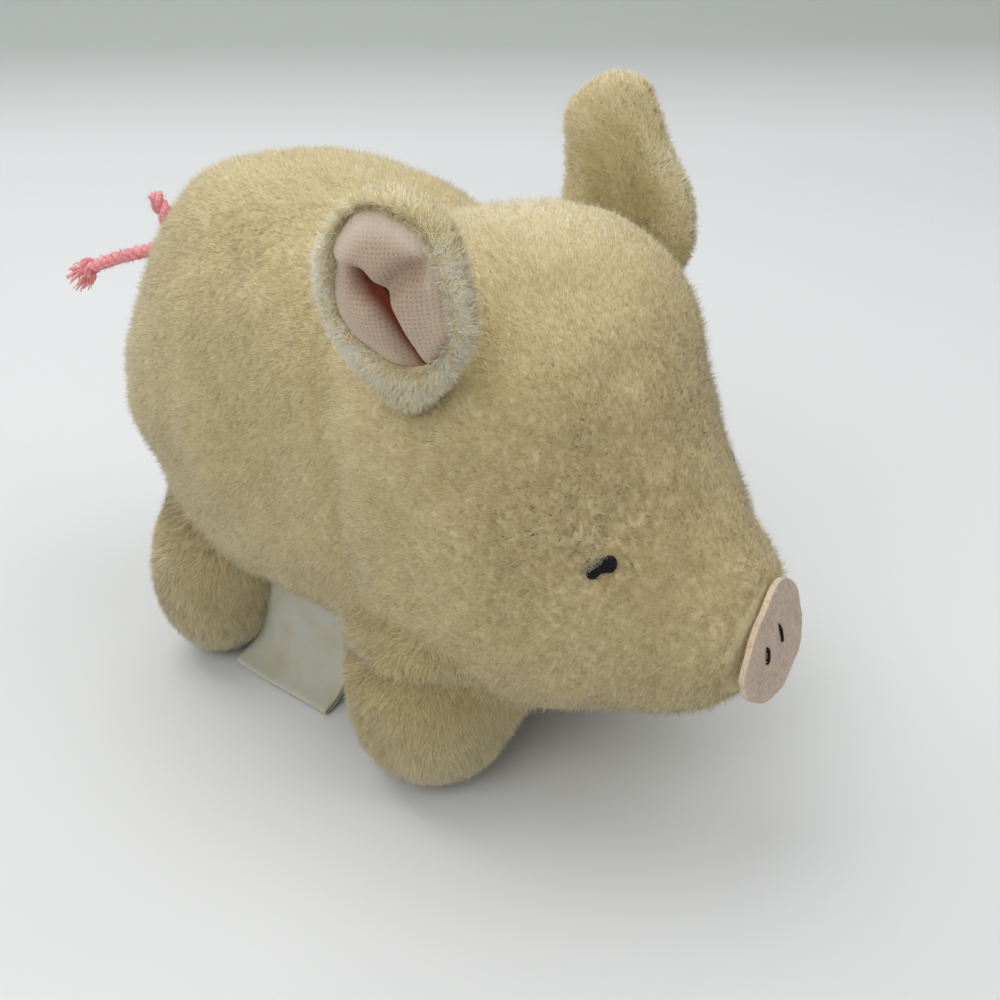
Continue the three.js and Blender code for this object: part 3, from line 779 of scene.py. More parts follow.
def treeOf(mesh):
    return BVHTree.FromPolygons(
        [v.co for v in mesh.vertices], [tuple(p.vertices) for p in mesh.polygons],
    )


def seamDistance(points):
    # the cover that each point is nearest to, and how far the second nearest one is, which is
    # small along a seam
    trees = [treeOf(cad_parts[node].data) for node in covers]
    near = np.array([[tree.find_nearest(Vector(p))[3] for tree in trees] for p in points])
    return near.argmin(axis=1), np.sort(near, axis=1)[:, 1]


def heldBy(piece, name, weights, least):
    group = piece.vertex_groups.new(name=name)
    for spot in np.flatnonzero(weights > least):
        group.add([int(spot)], float(weights[spot]), "REPLACE")


def puffOut(piece):
    # the covers as cloth, pressed out by the stuffing and held along the seams
    rest = arraysOf(piece)[0]
    heldBy(piece, "held", bell(seamDistance(rest)[1], puffSet["heldWidth"]), 0.02)
    selectOnly(piece)
    cloth = piece.modifiers.new("stuffed", "CLOTH")
    for key, value in puffSet["cloth"].items():
        setattr(cloth.settings, key, value)
    cloth.settings.vertex_group_mass = "held"
    cloth.settings.effector_weights.gravity = 0
    cloth.point_cache.frame_end = puffSet["frames"]
    for number in range(1, puffSet["frames"] + 1):
        bpy.context.scene.frame_set(number)
    puffed = piece.evaluated_get(bpy.context.evaluated_depsgraph_get()).data
    after = np.empty(len(puffed.vertices) * 3)
    puffed.vertices.foreach_get("co", after)
    shift = after.reshape(-1, 3) - rest
    far = np.linalg.norm(shift, axis=1, keepdims=True)
    piece.modifiers.clear()
    piece.vertex_groups.clear()
    bpy.context.scene.frame_set(1)
    setPoints(piece, rest + shift * np.minimum(1, puffSet["most"] / np.maximum(far, 1e-9)))
    print("stuffed out by", *(round(float(x) * 1000, 2) for x in (np.median(far), far.max())), "mm")


def nearestOn(spots, line):
    # distance to the nearest point of a line, which point that is, and the gap between the two
    gaps = spots[:, None] - line[None]
    far = np.linalg.norm(gaps, axis=2)
    pick = far.argmin(axis=1)
    rows = np.arange(len(spots))
    return far[rows, pick], pick, gaps[rows, pick]


def creasesAt(points):
    # how strongly each point is drawn into each crease: 1 on the line, fading off it
    shares = []
    for line in creaseSet["lines"]:
        sides = []
        for side in (1, -1):
            mirrored = [np.array(p) * (1, side, 1) * mm for p in line]
            route, _ = smoothRoute(mirrored, creaseSet["steps"])
            far, pick, gap = nearestOn(points, route)
            reach = np.where(gap[:, 2] > 0, creaseSet["above"], creaseSet["below"]) * mm
            ends = np.minimum(pick, creaseSet["steps"] - 1 - pick) / creaseSet["fade"]
            sides.append(bell(far, reach) * np.clip(ends, 0.3, 1))
        shares.append(np.maximum(*sides))
    return shares


def movedSkin(points, normals):
    # the rear legs' shift, the bulges that the stuffing makes and the creases
    top, reach = legMoves["top"], legMoves["reach"]
    for leg in legMoves["places"]:
        gap = farFrom(points[:, :2] / mm, leg) * mm
        low = climb(top, points[:, 2], 0.4 * top)
        near = climb(reach, gap, 0.35 * reach)
        points[:, 0] += legMoves["shift"] * (low * near) ** 2 * (3 - 2 * low * near)
    moved = points.copy()
    for (x, y, z), bulge, *own in skinBulges:
        for place, share in (((x, y, z), 1), ((x, -y, z), own[0] if own else farShare)):
            push = bell(farFrom(points / mm, place), bulgeReach) * bulge * share * mm
            moved += normals * push[:, None]
    for share, depth in zip(creasesAt(moved), creaseSet["depth"]):
        moved -= normals * (share * depth * mm)[:, None]
    return moved


def softened(skin):
    # the rear legs run into the body without a sharp line
    points = arraysOf(skin)[0] / mm
    line, _ = smoothRoute(creaseSet["lines"][1], creaseSet["steps"])
    gap = np.min([nearestOn(points * (1, side, 1), line)[0] for side in (1, -1)], axis=0)
    heldBy(skin, "legTops", bell(gap, creaseSet["softReach"]), 0.03)
    applyModifier(
        skin, "SMOOTH", factor=0.5, iterations=creaseSet["softSteps"], vertex_group="legTops",
    )
    skin.vertex_groups.clear()


def makeSkin():
    # also gives, for each point, the number of the cover that it belongs to
    skin = copyOf("plushSkin", [*covers, "stuffing"])
    applyModifier(skin, "REMESH", mode="VOXEL", voxel_size=puffSet["voxel"])
    skin = keepLargest(skin)
    puffOut(skin)
    applyModifier(skin, "SUBSURF", levels=1, render_levels=1)
    applyModifier(skin, "REMESH", mode="VOXEL", voxel_size=skinSet["voxel"])
    skin = keepLargest(skin)
    applyModifier(skin, "SMOOTH", factor=0.5, iterations=skinSet["smoothSteps"])
    points, normals, _ = arraysOf(skin)
    panelOf, gap = seamDistance(points)
    depth = skinSet["sink"] + bell(gap, skinSet["seamWidth"]) * skinSet["seamDepth"]
    setPoints(skin, movedSkin(points, normals) - normals * depth[:, None])
    softened(skin)
    applyModifier(skin, "SMOOTH", factor=0.5, iterations=skinSet["lastSteps"])
    points = arraysOf(skin)[0]
    points[:, 2] = np.maximum(points[:, 2], skinSet["lowest"])
    setPoints(skin, points)
    print("skin made,", len(points), "points")
    return skin, panelOf


def splitPanels(skin, panelOf):
    # each face goes to the cover that most of its corners are nearest to
    owner = []
    for face in skin.data.polygons:
        marks = [panelOf[corner] for corner in face.vertices]
        owner.append(max(sorted(set(marks)), key=marks.count))
    panels = {}
    for place, (node, name) in enumerate(covers.items()):
        panel = newObject(name, skin.data.copy())
        bm = bmesh.new()
        bm.from_mesh(panel.data)
        others = [face for face in bm.faces if owner[face.index] != place]
        bmesh.ops.delete(bm, geom=others, context="FACES")
        bm.to_mesh(panel.data)
        bm.free()
        panels[node] = keepLargest(panel)
    return panels


skin, panelOf = makeSkin()
panels = splitPanels(skin, panelOf)
skinTree = treeOf(skin.data)
plushSkin = mottledMaterial(
    "creamBacking", srgb(186, 168, 124), srgb(222, 206, 164), 700, 70, 0.5, 0.3 * mm, 0.95, 0.1,
)


# Pile: tufts of short thin strands that lie with the nap, and a thin fuzz that stands off them
pileSet = {
    "tufts": 3.3, "perTuft": 4, "tuftSize": 0.3 * mm, "length": 1.5 * mm, "lean": 71,
    "leanSpread": 7, "width": 0.21 * mm, "sink": 0.25 * mm, "limit": 190000,
    "swirl": 0.14, "curl": 0.12, "scatter": 0.46, "gather": 0.5, "twoSided": False,
    "outwards": 1.0, "along": 0.12, "tuftTilt": 0.17, "roughly": 0.09, "toneSpread": 0.085,
    "swirlWave": 30 * mm, "curlWave": 5 * mm, "lengthSpread": 0.12, "tipShift": 0.08 * mm,
    "crossTurn": 0.2, "lowest": 0.1 * mm, "wedge": 0.03 * mm, "lengths": (0.7, 1.1),
    "widths": (0.7, 1.25), "toneEach": 0.6,
}
fuzzSet = {
    "tufts": 2.6, "perTuft": 1, "tuftSize": 0.3 * mm, "length": 2.0 * mm, "lean": 34,
    "leanSpread": 16, "width": 0.12 * mm, "toneSpread": 0.11, "twoSided": True,
}
legPile = {
    "length": 2.6 * mm, "lean": 51, "tuftSize": 0.85 * mm, "gather": 0.3, "scatter": 0.6,
    "perTuft": 6, "tufts": 2.2, "twoSided": True,
}
creamTones = [
    (0, srgb(40, 38, 38)), (0.05, srgb(132, 120, 104)), (0.1, srgb(196, 174, 124)),
    (0.35, srgb(219, 200, 145)), (0.6, srgb(231, 214, 162)), (0.85, srgb(241, 230, 194)),
    (1, srgb(249, 244, 226)),
]
creamPile = pileMaterial("creamPile", creamTones, 0.88, 0.35)


def spreadOver(points, normals, triangles, density, rng, count=None):
    # places all over a surface, so many to a square millimetre or so many in all
    a, b, c = (points[triangles[:, k]] for k in range(3))
    size = np.linalg.norm(np.cross(b - a, c - a), axis=1)
    if count is None:
        count = int(float(size.sum() / 2) / mm / mm * density)
    picks = rng.choice(len(size), count, p=size / size.sum())
    u, v = rng.random((2, count, 1))
    u, v = np.where(u + v > 1, 1 - u, u), np.where(u + v > 1, 1 - v, v)
    places = a[picks] + u * (b[picks] - a[picks]) + v * (c[picks] - a[picks])
    na, nb, nc = (normals[triangles[picks, k]] for k in range(3))
    return places, unit(na * (1 - u - v) + nb * u + nc * v)


def turnedAbout(vectors, axes, angles):
    # each vector turned about its own axis
    c, s = np.cos(angles)[:, None], np.sin(angles)[:, None]
    dots = (vectors * axes).sum(1, keepdims=True)
    return vectors * c + np.cross(axes, vectors) * s + axes * dots * (1 - c)


def growStrands(surface, wayAt, seed, toneAt, keep, own):
    # where each strand stands, how it leans, how wide it is, its tone and the light it takes
    rng = np.random.default_rng(seed)
    places, outs = spreadOver(*surface, own["tufts"], rng)
    kept = keep(places)
    places, outs = places[kept], outs[kept]
    count = len(places)
    ways = wayAt(places, outs)
    ways = unit(ways - outs * (ways * outs).sum(1, keepdims=True))
    turn = waves(places, own["swirlWave"], seed + 1) * own["swirl"]
    turn = turn + waves(places, own["curlWave"], seed + 2) * own["curl"]
    ways = turnedAbout(ways, outs, turn + rng.normal(0, own["scatter"], count))
    lean = np.radians(own["lean"] + rng.normal(0, own["leanSpread"], count))
    long = own["length"] * (1 + rng.normal(0, own["lengthSpread"], count))
    tone = toneAt(places, outs) + rng.normal(0, own["toneSpread"], count)
    light = outs + rng.normal(0, own["tuftTilt"], (count, 3))
    each = own["perTuft"]
    places, outs, ways, lean, long, tone, light = (
        np.repeat(x, each, axis=0) for x in (places, outs, ways, lean, long, tone, light)
    )
    total = count * each
    sides = np.cross(outs, ways)
    shifts = rng.normal(0, own["tuftSize"], (total, 2))
    offset = ways * shifts[:, :1] + sides * shifts[:, 1:]
    roots = places + offset - outs * own["sink"]
    lean = lean + rng.normal(0, np.radians(own["leanSpread"]), total)
    run = ways * np.sin(lean)[:, None] + outs * np.cos(lean)[:, None]
    gather = rng.uniform(own["gather"], 1, (total, 1))
    long = long * rng.uniform(*own["lengths"], total)
    tips = places + offset * gather + run * long[:, None]
    tips = tips + rng.normal(0, own["tipShift"], (total, 3))
    across = unit(np.cross(run, outs) + 1e-9)
    across = turnedAbout(across, unit(tips - roots), rng.normal(0, own["crossTurn"], total))
    widths = own["width"] * rng.uniform(*own["widths"], total)
    tone = tone + rng.normal(0, own["toneSpread"] * own["toneEach"], total)
    rough = rng.normal(0, own["roughly"], (total, 3))
    soft = unit(light * own["outwards"] + run * own["along"] + rough)
    for ends in (roots, tips):
        ends[:, 2] = np.maximum(ends[:, 2], own["lowest"])
    return roots, tips, widths, np.clip(tone, 0.005, 0.995), across, soft


def growPile(name, piece, wayAt, seed, toneAt, keep, changes=()):
    # the pile and then the fuzz of one piece, each in as many meshes as its strands need
    surface = arraysOf(piece)
    made = []
    for number, more in enumerate(({}, fuzzSet)):
        own = {**pileSet, **dict(changes), **more}
        strands = growStrands(surface, wayAt, seed + 5 * number, toneAt, keep, own)
        total = len(strands[0])
        sections = max(1, math.ceil(total / (own["limit"] // (2 if own["twoSided"] else 1))))
        order = np.argsort(strands[0][:, 0], kind="stable")
        label = name.replace("_pile", "_fuzz") if number else name
        for section in range(sections):
            part = order[section * total // sections:(section + 1) * total // sections]
            made.append(strandMesh(
                label if sections == 1 else f"{label}_{section + 1}",
                *(values[part] for values in strands), own["wedge"] if own["twoSided"] else 0,
            ))
        print(label, "grown,", total, "strands in", sections)
    return made


eyeSet = {
    "front": np.array((55.1, 23.7, 66.85)) * mm, "rear": np.array((53.2, 25.8, 65.4)) * mm,
    "leftShift": (2 * mm, 0, 2 * mm),        # the left eye sits a little further back and lower
    "frontRadius": 1.4 * mm, "rearRadius": 0.85 * mm, "waist": 0.7 * mm,
    "threads": 15, "radius": 0.22 * mm, "base": 0.35 * mm, "rise": 0.75 * mm,
    "pitch": 1.4 * mm, "turnEach": 1.7, "sunk": 0.5 * mm, "steps": 40,
    "hairs": 170, "hairWidth": 0.09 * mm, "hairRise": 0.9 * mm,
}
eyeEnds = {
    "right": (eyeSet["rear"] * (1, -1, 1), eyeSet["front"] * (1, -1, 1)),
    "left": (eyeSet["rear"] - eyeSet["leftShift"], eyeSet["front"] - eyeSet["leftShift"]),
}
discLow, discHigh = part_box("snout_disc")
discCentre = np.array((discLow + discHigh) / 2)
discNormal = np.array((0.99813, 0, -0.06105))
bareSet = {"depth": 3.2 * mm, "reach": 12.2 * mm}        # where the disc covers the muzzle
toneSet = {
    "usual": 0.46, "broad": 0.04, "fine": 0.03,
    "soleHeight": 16 * mm, "sole": 0.22, "soleFine": 0.14,
    "shinHeight": 22 * mm, "shin": 0.12, "shinFine": 0.1,
    "napeHighlightSpot": (15, 8, 112), "napeHighlightReach": 19, "nape": 0.26,        # a painted highlight on the nape, its spot and reach in mm
    "face": 0.16, "rear": 0.16,
    "from": [(29, 12), (45, 20), (45, 8), (-42, 10)],        # where the painted shade on the face and the painted light low on the rear begin, in mm
    # small dark spots: painted shade in dents of the plush
    "dentShadeSpots": [
        (26.2, -37.8, 75.7), (47.6, -22.2, 88.1), (54.7, -3.7, 86.3), (31.7, -3.9, 108.4),
    ],
    "dentShadeReach": 1.3, "paintedShading": 0.24,
    # painted shade round each eye
    "eyeReach": 2.7 * mm, "eyeRise": 0.6 * mm, "eye": 0.16,
}


def bodyWay(places, outs):
    return np.tile((-0.75, 0, -0.65), (len(places), 1))


def headWay(places, outs):
    return unit(places - discCentre) - (0, 0, 0.25)


def legWay(places, outs):
    return outs * (0.4, 0.4, 0) + (0.12, 0, -1)


def coverTone(places, outs):
    x, z = places[:, 0] / mm, places[:, 2] / mm
    tone = toneSet["usual"] + waves(places, 34 * mm, 70) * toneSet["broad"]
    tone = tone + waves(places, 3 * mm, 71) * toneSet["fine"]
    sole = np.clip(1 - places[:, 2] / toneSet["soleHeight"], 0, 1)
    shin = np.clip(1.2 - places[:, 2] / toneSet["shinHeight"], 0, 1) ** 0.5
    shin = np.clip(outs[:, 0], 0, 1) * shin
    tone = tone + sole * (toneSet["sole"] + toneSet["soleFine"] * waves(places, 3 * mm, 73))
    tone = tone + shin * (toneSet["shin"] + toneSet["shinFine"] * waves(places, 4 * mm, 72))
    # painted shade along the creases
    tone = tone - np.maximum(*creasesAt(places)) * creaseSet["tone"]
    # painted highlight on the nape
    nape = farFrom(places / mm, toneSet["napeHighlightSpot"])
    tone = tone + toneSet["nape"] * bell(nape, toneSet["napeHighlightReach"])
    # painted shade on the face, and painted light low on the rear
    ahead, above, back, below = toneSet["from"]
    tone = tone - toneSet["face"] * climb(x, *ahead) * climb(z, *above)
    tone = tone + toneSet["rear"] * climb(-x, *back) * climb(-z, *below)
    # painted shade in small dents
    for spot in toneSet["dentShadeSpots"]:
        gap = farFrom(places / mm, spot)
        tone = tone - toneSet["paintedShading"] * bell(gap, toneSet["dentShadeReach"])
    # painted shade round each eye
    for rear, front in eyeEnds.values():
        gap = farFrom(places - (rear + front) / 2, (0, 0, toneSet["eyeRise"]))
        tone = tone - toneSet["eye"] * bell(gap, toneSet["eyeReach"])
    return tone


def bare(places):
    # no pile grows under the disc or under the eyes
    gap = places - discCentre
    along = gap @ discNormal
    across = np.linalg.norm(gap - along[:, None] * discNormal, axis=1)
    covered = (along > -bareSet["depth"]) & (across < bareSet["reach"])
    for rear, front in eyeEnds.values():
        for spot, reach in (
            (rear, "rearRadius"), (front, "frontRadius"), ((rear + front) / 2, "waist"),
        ):
            covered |= farFrom(places, spot) < eyeSet[reach]
    return ~covered


for place, (node, panel) in enumerate(panels.items()):
    label = covers[node].replace("_plush", "_pile")
    onLeg = "leg" in node
    way = legWay if onLeg else headWay if "head" in node else bodyWay
    seed = 100 + 10 * place
    for piece in growPile(label, panel, way, seed, coverTone, bare, legPile if onLeg else ()):
        finished(piece, "body", creamPile)
    applyModifier(panel, "SOLIDIFY", thickness=skinSet["cloth"], offset=-1)
    finished(panel, "body", plushSkin, [node])
bpy.data.objects.remove(skin)


# Ears: a puffed leaf of plush with a hollow in front, and the woven lining folded in it
earSet = {
    "right": {
        "root": (22.670, -35.956, 93.303), "turn": 12, "leanBack": 4, "side": -1, "lining": 1,
        "outline": [
            (39.1, 0.0), (38.1, -7.1), (33.2, -12.4), (24.7, -14.9), (15.7, -15.1), (8.4, -11.9),
            (1.8, -5.9), (-2.2, -0.1), (0.0, 5.4), (6.7, 11.2), (14.6, 15.3), (20.8, 16.1),
            (26.9, 15.0), (33.2, 10.8), (37.0, 6.3),
        ],
    },
    "left": {
        "root": (22.672, 35.944, 93.308), "turn": -9, "leanBack": 9, "side": 1, "lining": 0.9,
        "outline": [
            (43.6, -0.6), (41.6, 6.0), (37.4, 7.6), (29.8, 10.2), (23.1, 13.2), (17.4, 15.2),
            (9.5, 15.6), (3.6, 13.8), (-1.6, 8.5), (-1.2, -3.0), (3.0, -8.0), (9.0, -13.0),
            (16.7, -15.5), (22.4, -14.6), (30.0, -13.8), (37.2, -12.5), (41.4, -7.5),
        ],
    },
    "leanOut": 2.5, "inset": 1.6, "front": 3.3, "back": 4.0, "floor": 0.4, "centre": (21.5, -1.2),
    "steps": 128, "rings": 26, "frontFrom": 0.08, "backTo": 0.06, "foot": 0.96, "crest": 1.07,
    "leastRim": 2.2, "smoothSteps": 4,
}
liningSet = {
    "outline": [
        (35.1, 1.1), (32.6, -6.0), (26.5, -9.0), (19.1, -10.3), (14.1, -9.6), (8.0, -4.2),
        (8.1, -2.0), (9.9, 3.5), (13.7, 8.6), (19.2, 10.6), (24.4, 10.3), (29.5, 8.6), (33.3, 5.2),
    ],
    "crease": [
        (25.5, 9.7), (25.1, 5.0), (23.3, 1.7), (21.1, -0.5), (17.3, -2.1), (14.3, -3.1),
        (11.2, -3.9), (7.9, -4.5),
    ],
    "valley": [(23.1, -1.4), (25.3, -3.8), (26.3, -6.4), (27.1, -9.9)],
    "rings": 52, "steps": 200, "creaseSteps": 120, "edge": 2.0, "crown": 4.4, "creaseDepth": 3.5,
    "valleyDepth": 2.3, "valleyWidth": 1.8, "pitAt": 28, "pitWidth": 2.4, "pitDepth": 1.5,
    "overhang": 0.25, "ripple": 0.12, "thickness": 0.45 * mm, "threadPitch": 0.74,
    "reach": 1.1, "creaseWidth": (2.9, 1.0), "tuckedIn": 12, "clear": 0.35,
}
shadeSet = {        # how dark the painted shade in the lining's folds is, and how pale its painted highlight
    "core": 0.92, "coreWidth": (2.8, 0.6), "around": 0.26, "aroundWidth": 3.4, "pit": 0.3,
    "low": 0.14, "valley": 0.26, "valleyWidth": 3.6, "paintedShading": 0.14, "tipHighlight": 0.4,
}
earTones = {
    # along: how much of the paleness stays up the ear; what is lost at the root is painted shade
    "usual": 0.3, "rim": 0.34, "front": 0.24, "along": ((0, 12, 24, 34), (0.65, 1, 1, 0.6)),
    "behind": 0.14, "frontAll": 0.06, "uneven": 0.03,
}
earPile = {
    "length": 1.9 * mm, "lean": 58, "tuftSize": 0.35 * mm, "tufts": 4.0, "width": 0.19 * mm,
    "curl": 0.4, "scatter": 0.6, "gather": 0.5, "tuftTilt": 0.12, "twoSided": True,
}
earFibre = pileMaterial("earFibre", creamTones, 0.97, 0.5)


def earFrame(ear):
    back, out = math.tan(math.radians(ear["leanBack"])), math.tan(math.radians(earSet["leanOut"]))
    up = unit(np.array((-back, ear["side"] * out, 1.0)))
    turn = math.radians(ear["turn"])
    across = unit(np.cross((math.sin(turn), ear["side"] * math.cos(turn), 0), up))
    return np.array(ear["root"]), up, across, np.cross(up, across)


def circleOf(turns):
    return np.stack([np.cos(turns), np.sin(turns)], axis=1)


def reachOf(outline, centre, steps):
    # how far a closed outline is from its centre in each direction
    ring = [np.array((*p, 0.0)) for p in outline]
    line, _ = smoothRoute([*ring[-2:], *ring, *ring[:2]], 900)
    gap = line[:, :2] - centre
    turns = np.arctan2(gap[:, 1], gap[:, 0])
    far = np.linalg.norm(gap, axis=1)
    order = np.argsort(turns)
    ways = np.arange(steps) / steps * 2 * math.pi - math.pi
    return ways, np.interp(ways, turns[order], far[order], period=2 * math.pi)


def sideOf(spots, line):
    # distance to a line, share of the way along it and the side of it that each spot is on
    far, pick, gap = nearestOn(spots, line)
    ways = np.gradient(line, axis=0)[pick]
    turn = ways[:, 0] * gap[:, 1] - ways[:, 1] * gap[:, 0]
    return far, pick / (len(line) - 1), np.sign(turn)


def liningMaterial():
    material, tree, shader = newMaterial("wovenLining", 0.9, 0.1)
    weave = wovenCloth(
        tree, liningSet["threadPitch"], srgb(140, 116, 94), srgb(210, 189, 165), 0.6,
    )
    colour = weave.outputs["Color"]
    # painted shade in the folds, and a painted highlight on the lobes
    for name, tone in (("creaseShade", srgb(106, 46, 22)), ("paintedHighlight", srgb(240, 226, 206))):
        share = addNode(tree, "Attribute", attribute_name=name).outputs["Fac"]
        colour = tinted(tree, share, colour, tone)
    surfaced(tree, shader, colour, weave.outputs["Height"], 0.9, 0.12 * mm)
    return material


wovenLining = liningMaterial()


def onEar(axes, spots, ahead):
    # points at these places up the ear and across it, and so far ahead of it
    root, up, across, front = axes
    return (root + up * spots[:, :1] + across * spots[:, 1:] + front * ahead[:, None]) * mm


def makeShell(name, axes, centre, outer, inner, circle):
    # rings round a middle point, over the front to the edge and on over the back
    low, high, deep = earSet["floor"], earSet["front"], earSet["back"]
    foot, crest = inner * earSet["foot"], inner * earSet["crest"]
    points = []
    for share in np.linspace(earSet["frontFrom"], 1, earSet["rings"]):
        far = outer * share
        rise = climb(far, foot, crest - foot)
        rise = low + (high - low) * rise * rise * (3 - 2 * rise)
        past = climb(far, crest, outer - crest)
        ahead = np.where(far > crest, high * np.sqrt(1 - past ** 2), rise)
        points.extend(onEar(axes, centre + circle * far[:, None], ahead))
    for share in np.linspace(1, earSet["backTo"], earSet["rings"])[1:]:
        ahead = -deep * np.sqrt(1 - share ** 2) * np.ones(len(outer))
        points.extend(onEar(axes, centre + circle * (outer * share)[:, None], ahead))
    points.extend(onEar(axes, np.array([centre, centre]), np.array([low, -deep])))
    steps, rings = earSet["steps"], earSet["rings"] * 2 - 1
    middle, behind, end = len(points) - 2, len(points) - 1, (rings - 1) * steps
    faces = ringFaces(rings, steps)
    faces += [(middle, step, (step + 1) % steps) for step in range(steps)]
    faces += [(behind, end + (step + 1) % steps, end + step) for step in range(steps)]
    shell = meshPiece(name, points, faces)
    onWholeMesh(shell, bpy.ops.mesh.normals_make_consistent, inside=False)
    applyModifier(shell, "SMOOTH", factor=0.5, iterations=earSet["smoothSteps"])
    return shell


def makeLining(body, axes, centre, flip, turns, edge):
    # two lobes that meet in a slanting crease, the forward one hanging over it
    crease, valley = (
        smoothRoute([(s, t * flip, 0) for s, t in liningSet[line]], count)[0][:, :2]
        for line, count in (("crease", liningSet["creaseSteps"]), ("valley", 60))
    )
    circle = circleOf(turns)
    shares = np.linspace(0.02, liningSet["reach"], liningSet["rings"])
    spots = np.concatenate([[centre], *(centre + circle * (edge * s)[:, None] for s in shares)])
    share = np.concatenate([[0], np.repeat(shares, len(edge))])
    off, at, side = sideOf(spots, crease)
    rearward, forward = side * flip < 0, side * flip > 0
    strength = np.clip(at / 0.25, 0.35, 1) * np.clip((1.25 - at) / 0.35, 0, 1)
    width = np.where(rearward, *liningSet["creaseWidth"]) * (1.25 - 0.5 * at)
    pit = bell(farFrom(spots, crease[liningSet["pitAt"]]), liningSet["pitWidth"])
    valleyGap = nearestOn(spots, valley)[0]
    hollow = bell(valleyGap, liningSet["valleyWidth"]) * forward
    ahead = liningSet["edge"] + liningSet["crown"] * np.clip(1 - share ** 2.2, 0, 1) ** 0.75
    ahead = ahead - np.clip(share - 1, 0, 1) * liningSet["tuckedIn"]
    ahead = ahead - liningSet["creaseDepth"] * bell(off, width) * strength
    ahead = ahead - liningSet["pitDepth"] * pit - liningSet["valleyDepth"] * hollow
    ahead = ahead + waves(np.c_[spots, spots[:, :1] * 0], 6.0, 83) * liningSet["ripple"]
    least = earSet["floor"] + liningSet["clear"]
    ahead = np.where(share < 0.97, np.maximum(ahead, least), ahead)
    lean = liningSet["overhang"] * bell(off - 0.9, 0.8) * strength * forward
    last = len(crease) - 1
    drift = crease[np.clip((at * last).astype(int), 0, last)] - spots
    drift = drift / np.maximum(np.linalg.norm(drift, axis=1, keepdims=True), 0.3)
    points = onEar(axes, spots + drift * lean[:, None], ahead)
    fine = len(edge)
    faces = [(0, 1 + step, 1 + (step + 1) % fine) for step in range(fine)]
    faces += ringFaces(len(shares), fine, start=1)
    if flip < 0:
        faces = [tuple(reversed(face)) for face in faces]
    lining = meshPiece(f"{body}_lining_cloth", points, faces, spots)

    # painted shade in the folds and towards the root, and a painted highlight towards the lining's
    # edge, strongest towards the tip
    width = np.where(rearward, *shadeSet["coreWidth"]) * np.clip(1.35 - at, 0.45, 1)
    core = np.exp(-(off / width) ** 3) * strength * np.clip(at / 0.35, 0.3, 1)
    around = bell(off, shadeSet["aroundWidth"]) * rearward * strength
    dark = core * shadeSet["core"] + around * shadeSet["around"] + pit * shadeSet["pit"]
    dark = dark + climb(17, spots[:, 0], 9) * shadeSet["low"]
    inValley = bell(valleyGap, shadeSet["valleyWidth"]) * forward * (share < 0.8)
    dark = dark + inValley * shadeSet["valley"]
    high = shadeSet["paintedShading"] + shadeSet["tipHighlight"] * climb(spots[:, 0], 22, 8)
    addValues(lining, "creaseShade", dark)
    addValues(lining, "paintedHighlight", climb(share, 0.64, 0.2) * high * (1 - dark))
    if (np.array(lining.data.polygons[0].normal) @ axes[3]) < 0:
        lining.data.flip_normals()
    applyModifier(lining, "SOLIDIFY", thickness=liningSet["thickness"], offset=-1)
    finished(lining, body, wovenLining, [f"{body}_lining"])


def makeEar(name):
    body, ear = f"{name}_ear", earSet[name]
    axes = root, up, across, front = earFrame(ear)
    flip = 1 if name == "right" else -1        # the left ear's lining mirrors the right one's
    centre = np.array(earSet["centre"]) * (1, flip)
    liningEdge = [(s, t * flip) for s, t in liningSet["outline"]]
    ways, outer = reachOf(ear["outline"], centre, earSet["steps"])
    _, inner = reachOf(liningEdge, centre, earSet["steps"])
    outer = outer - earSet["inset"]
    inner = np.minimum(inner * ear["lining"], outer - earSet["leastRim"])
    shell = makeShell(f"{body}_plush", axes, centre, outer, inner, circleOf(ways))

    def local(places):
        # how far up the ear, how far ahead, and the gap, distance and direction from its centre
        gap = (places - root * mm) / mm
        along = gap @ up
        spot = np.stack([along, gap @ across], axis=1) - centre
        far, turn = np.linalg.norm(spot, axis=1), np.arctan2(spot[:, 1], spot[:, 0])
        return along, gap @ front, spot, far, turn

    def outsideLining(places):
        along, ahead, _, far, turn = local(places)
        reach = np.interp(turn, ways, inner, period=2 * math.pi) * 0.99
        return ~((far < reach) & (ahead > -0.6)) & (along > -0.5)

    def earWay(places, outs):
        _, ahead, spot, _, _ = local(places)
        run = unit(spot[:, :1] * up + spot[:, 1:] * across)
        behind = np.clip(-ahead[:, None] / 2, 0, 1)        # the pile behind lies up the ear
        return run * (1 - 0.6 * behind) + up * (0.35 + 0.6 * behind)

    def earTone(places, outs):
        # paler to the rim and in front, and less so at the tip and at the root, where the loss is
        # painted shade
        along, ahead, _, far, turn = local(places)
        edge = far / np.interp(turn, ways, outer, period=2 * math.pi)
        pale = climb(edge, 0.48, 0.22) * earTones["rim"] + (ahead > 0) * earTones["front"]
        pale = pale * np.interp(along, *earTones["along"])
        pale = pale + climb(along, 12, 20) * (ahead < 0) * earTones["behind"]
        uneven = waves(places, 9 * mm, 81) * earTones["uneven"]
        return earTones["usual"] + pale + (ahead > 0) * earTones["frontAll"] + uneven

    pile = growPile(f"{body}_pile", shell, earWay, 400 + flip, earTone, outsideLining, earPile)
    for piece in pile:
        finished(piece, body, earFibre)
    finished(shell, body, plushSkin, [body])
    turns, edge = reachOf(liningEdge, centre, liningSet["steps"])
    makeLining(body, axes, centre, flip, turns, edge * ear["lining"])
    print(name, "ear made")


makeEar("right")
makeEar("left")


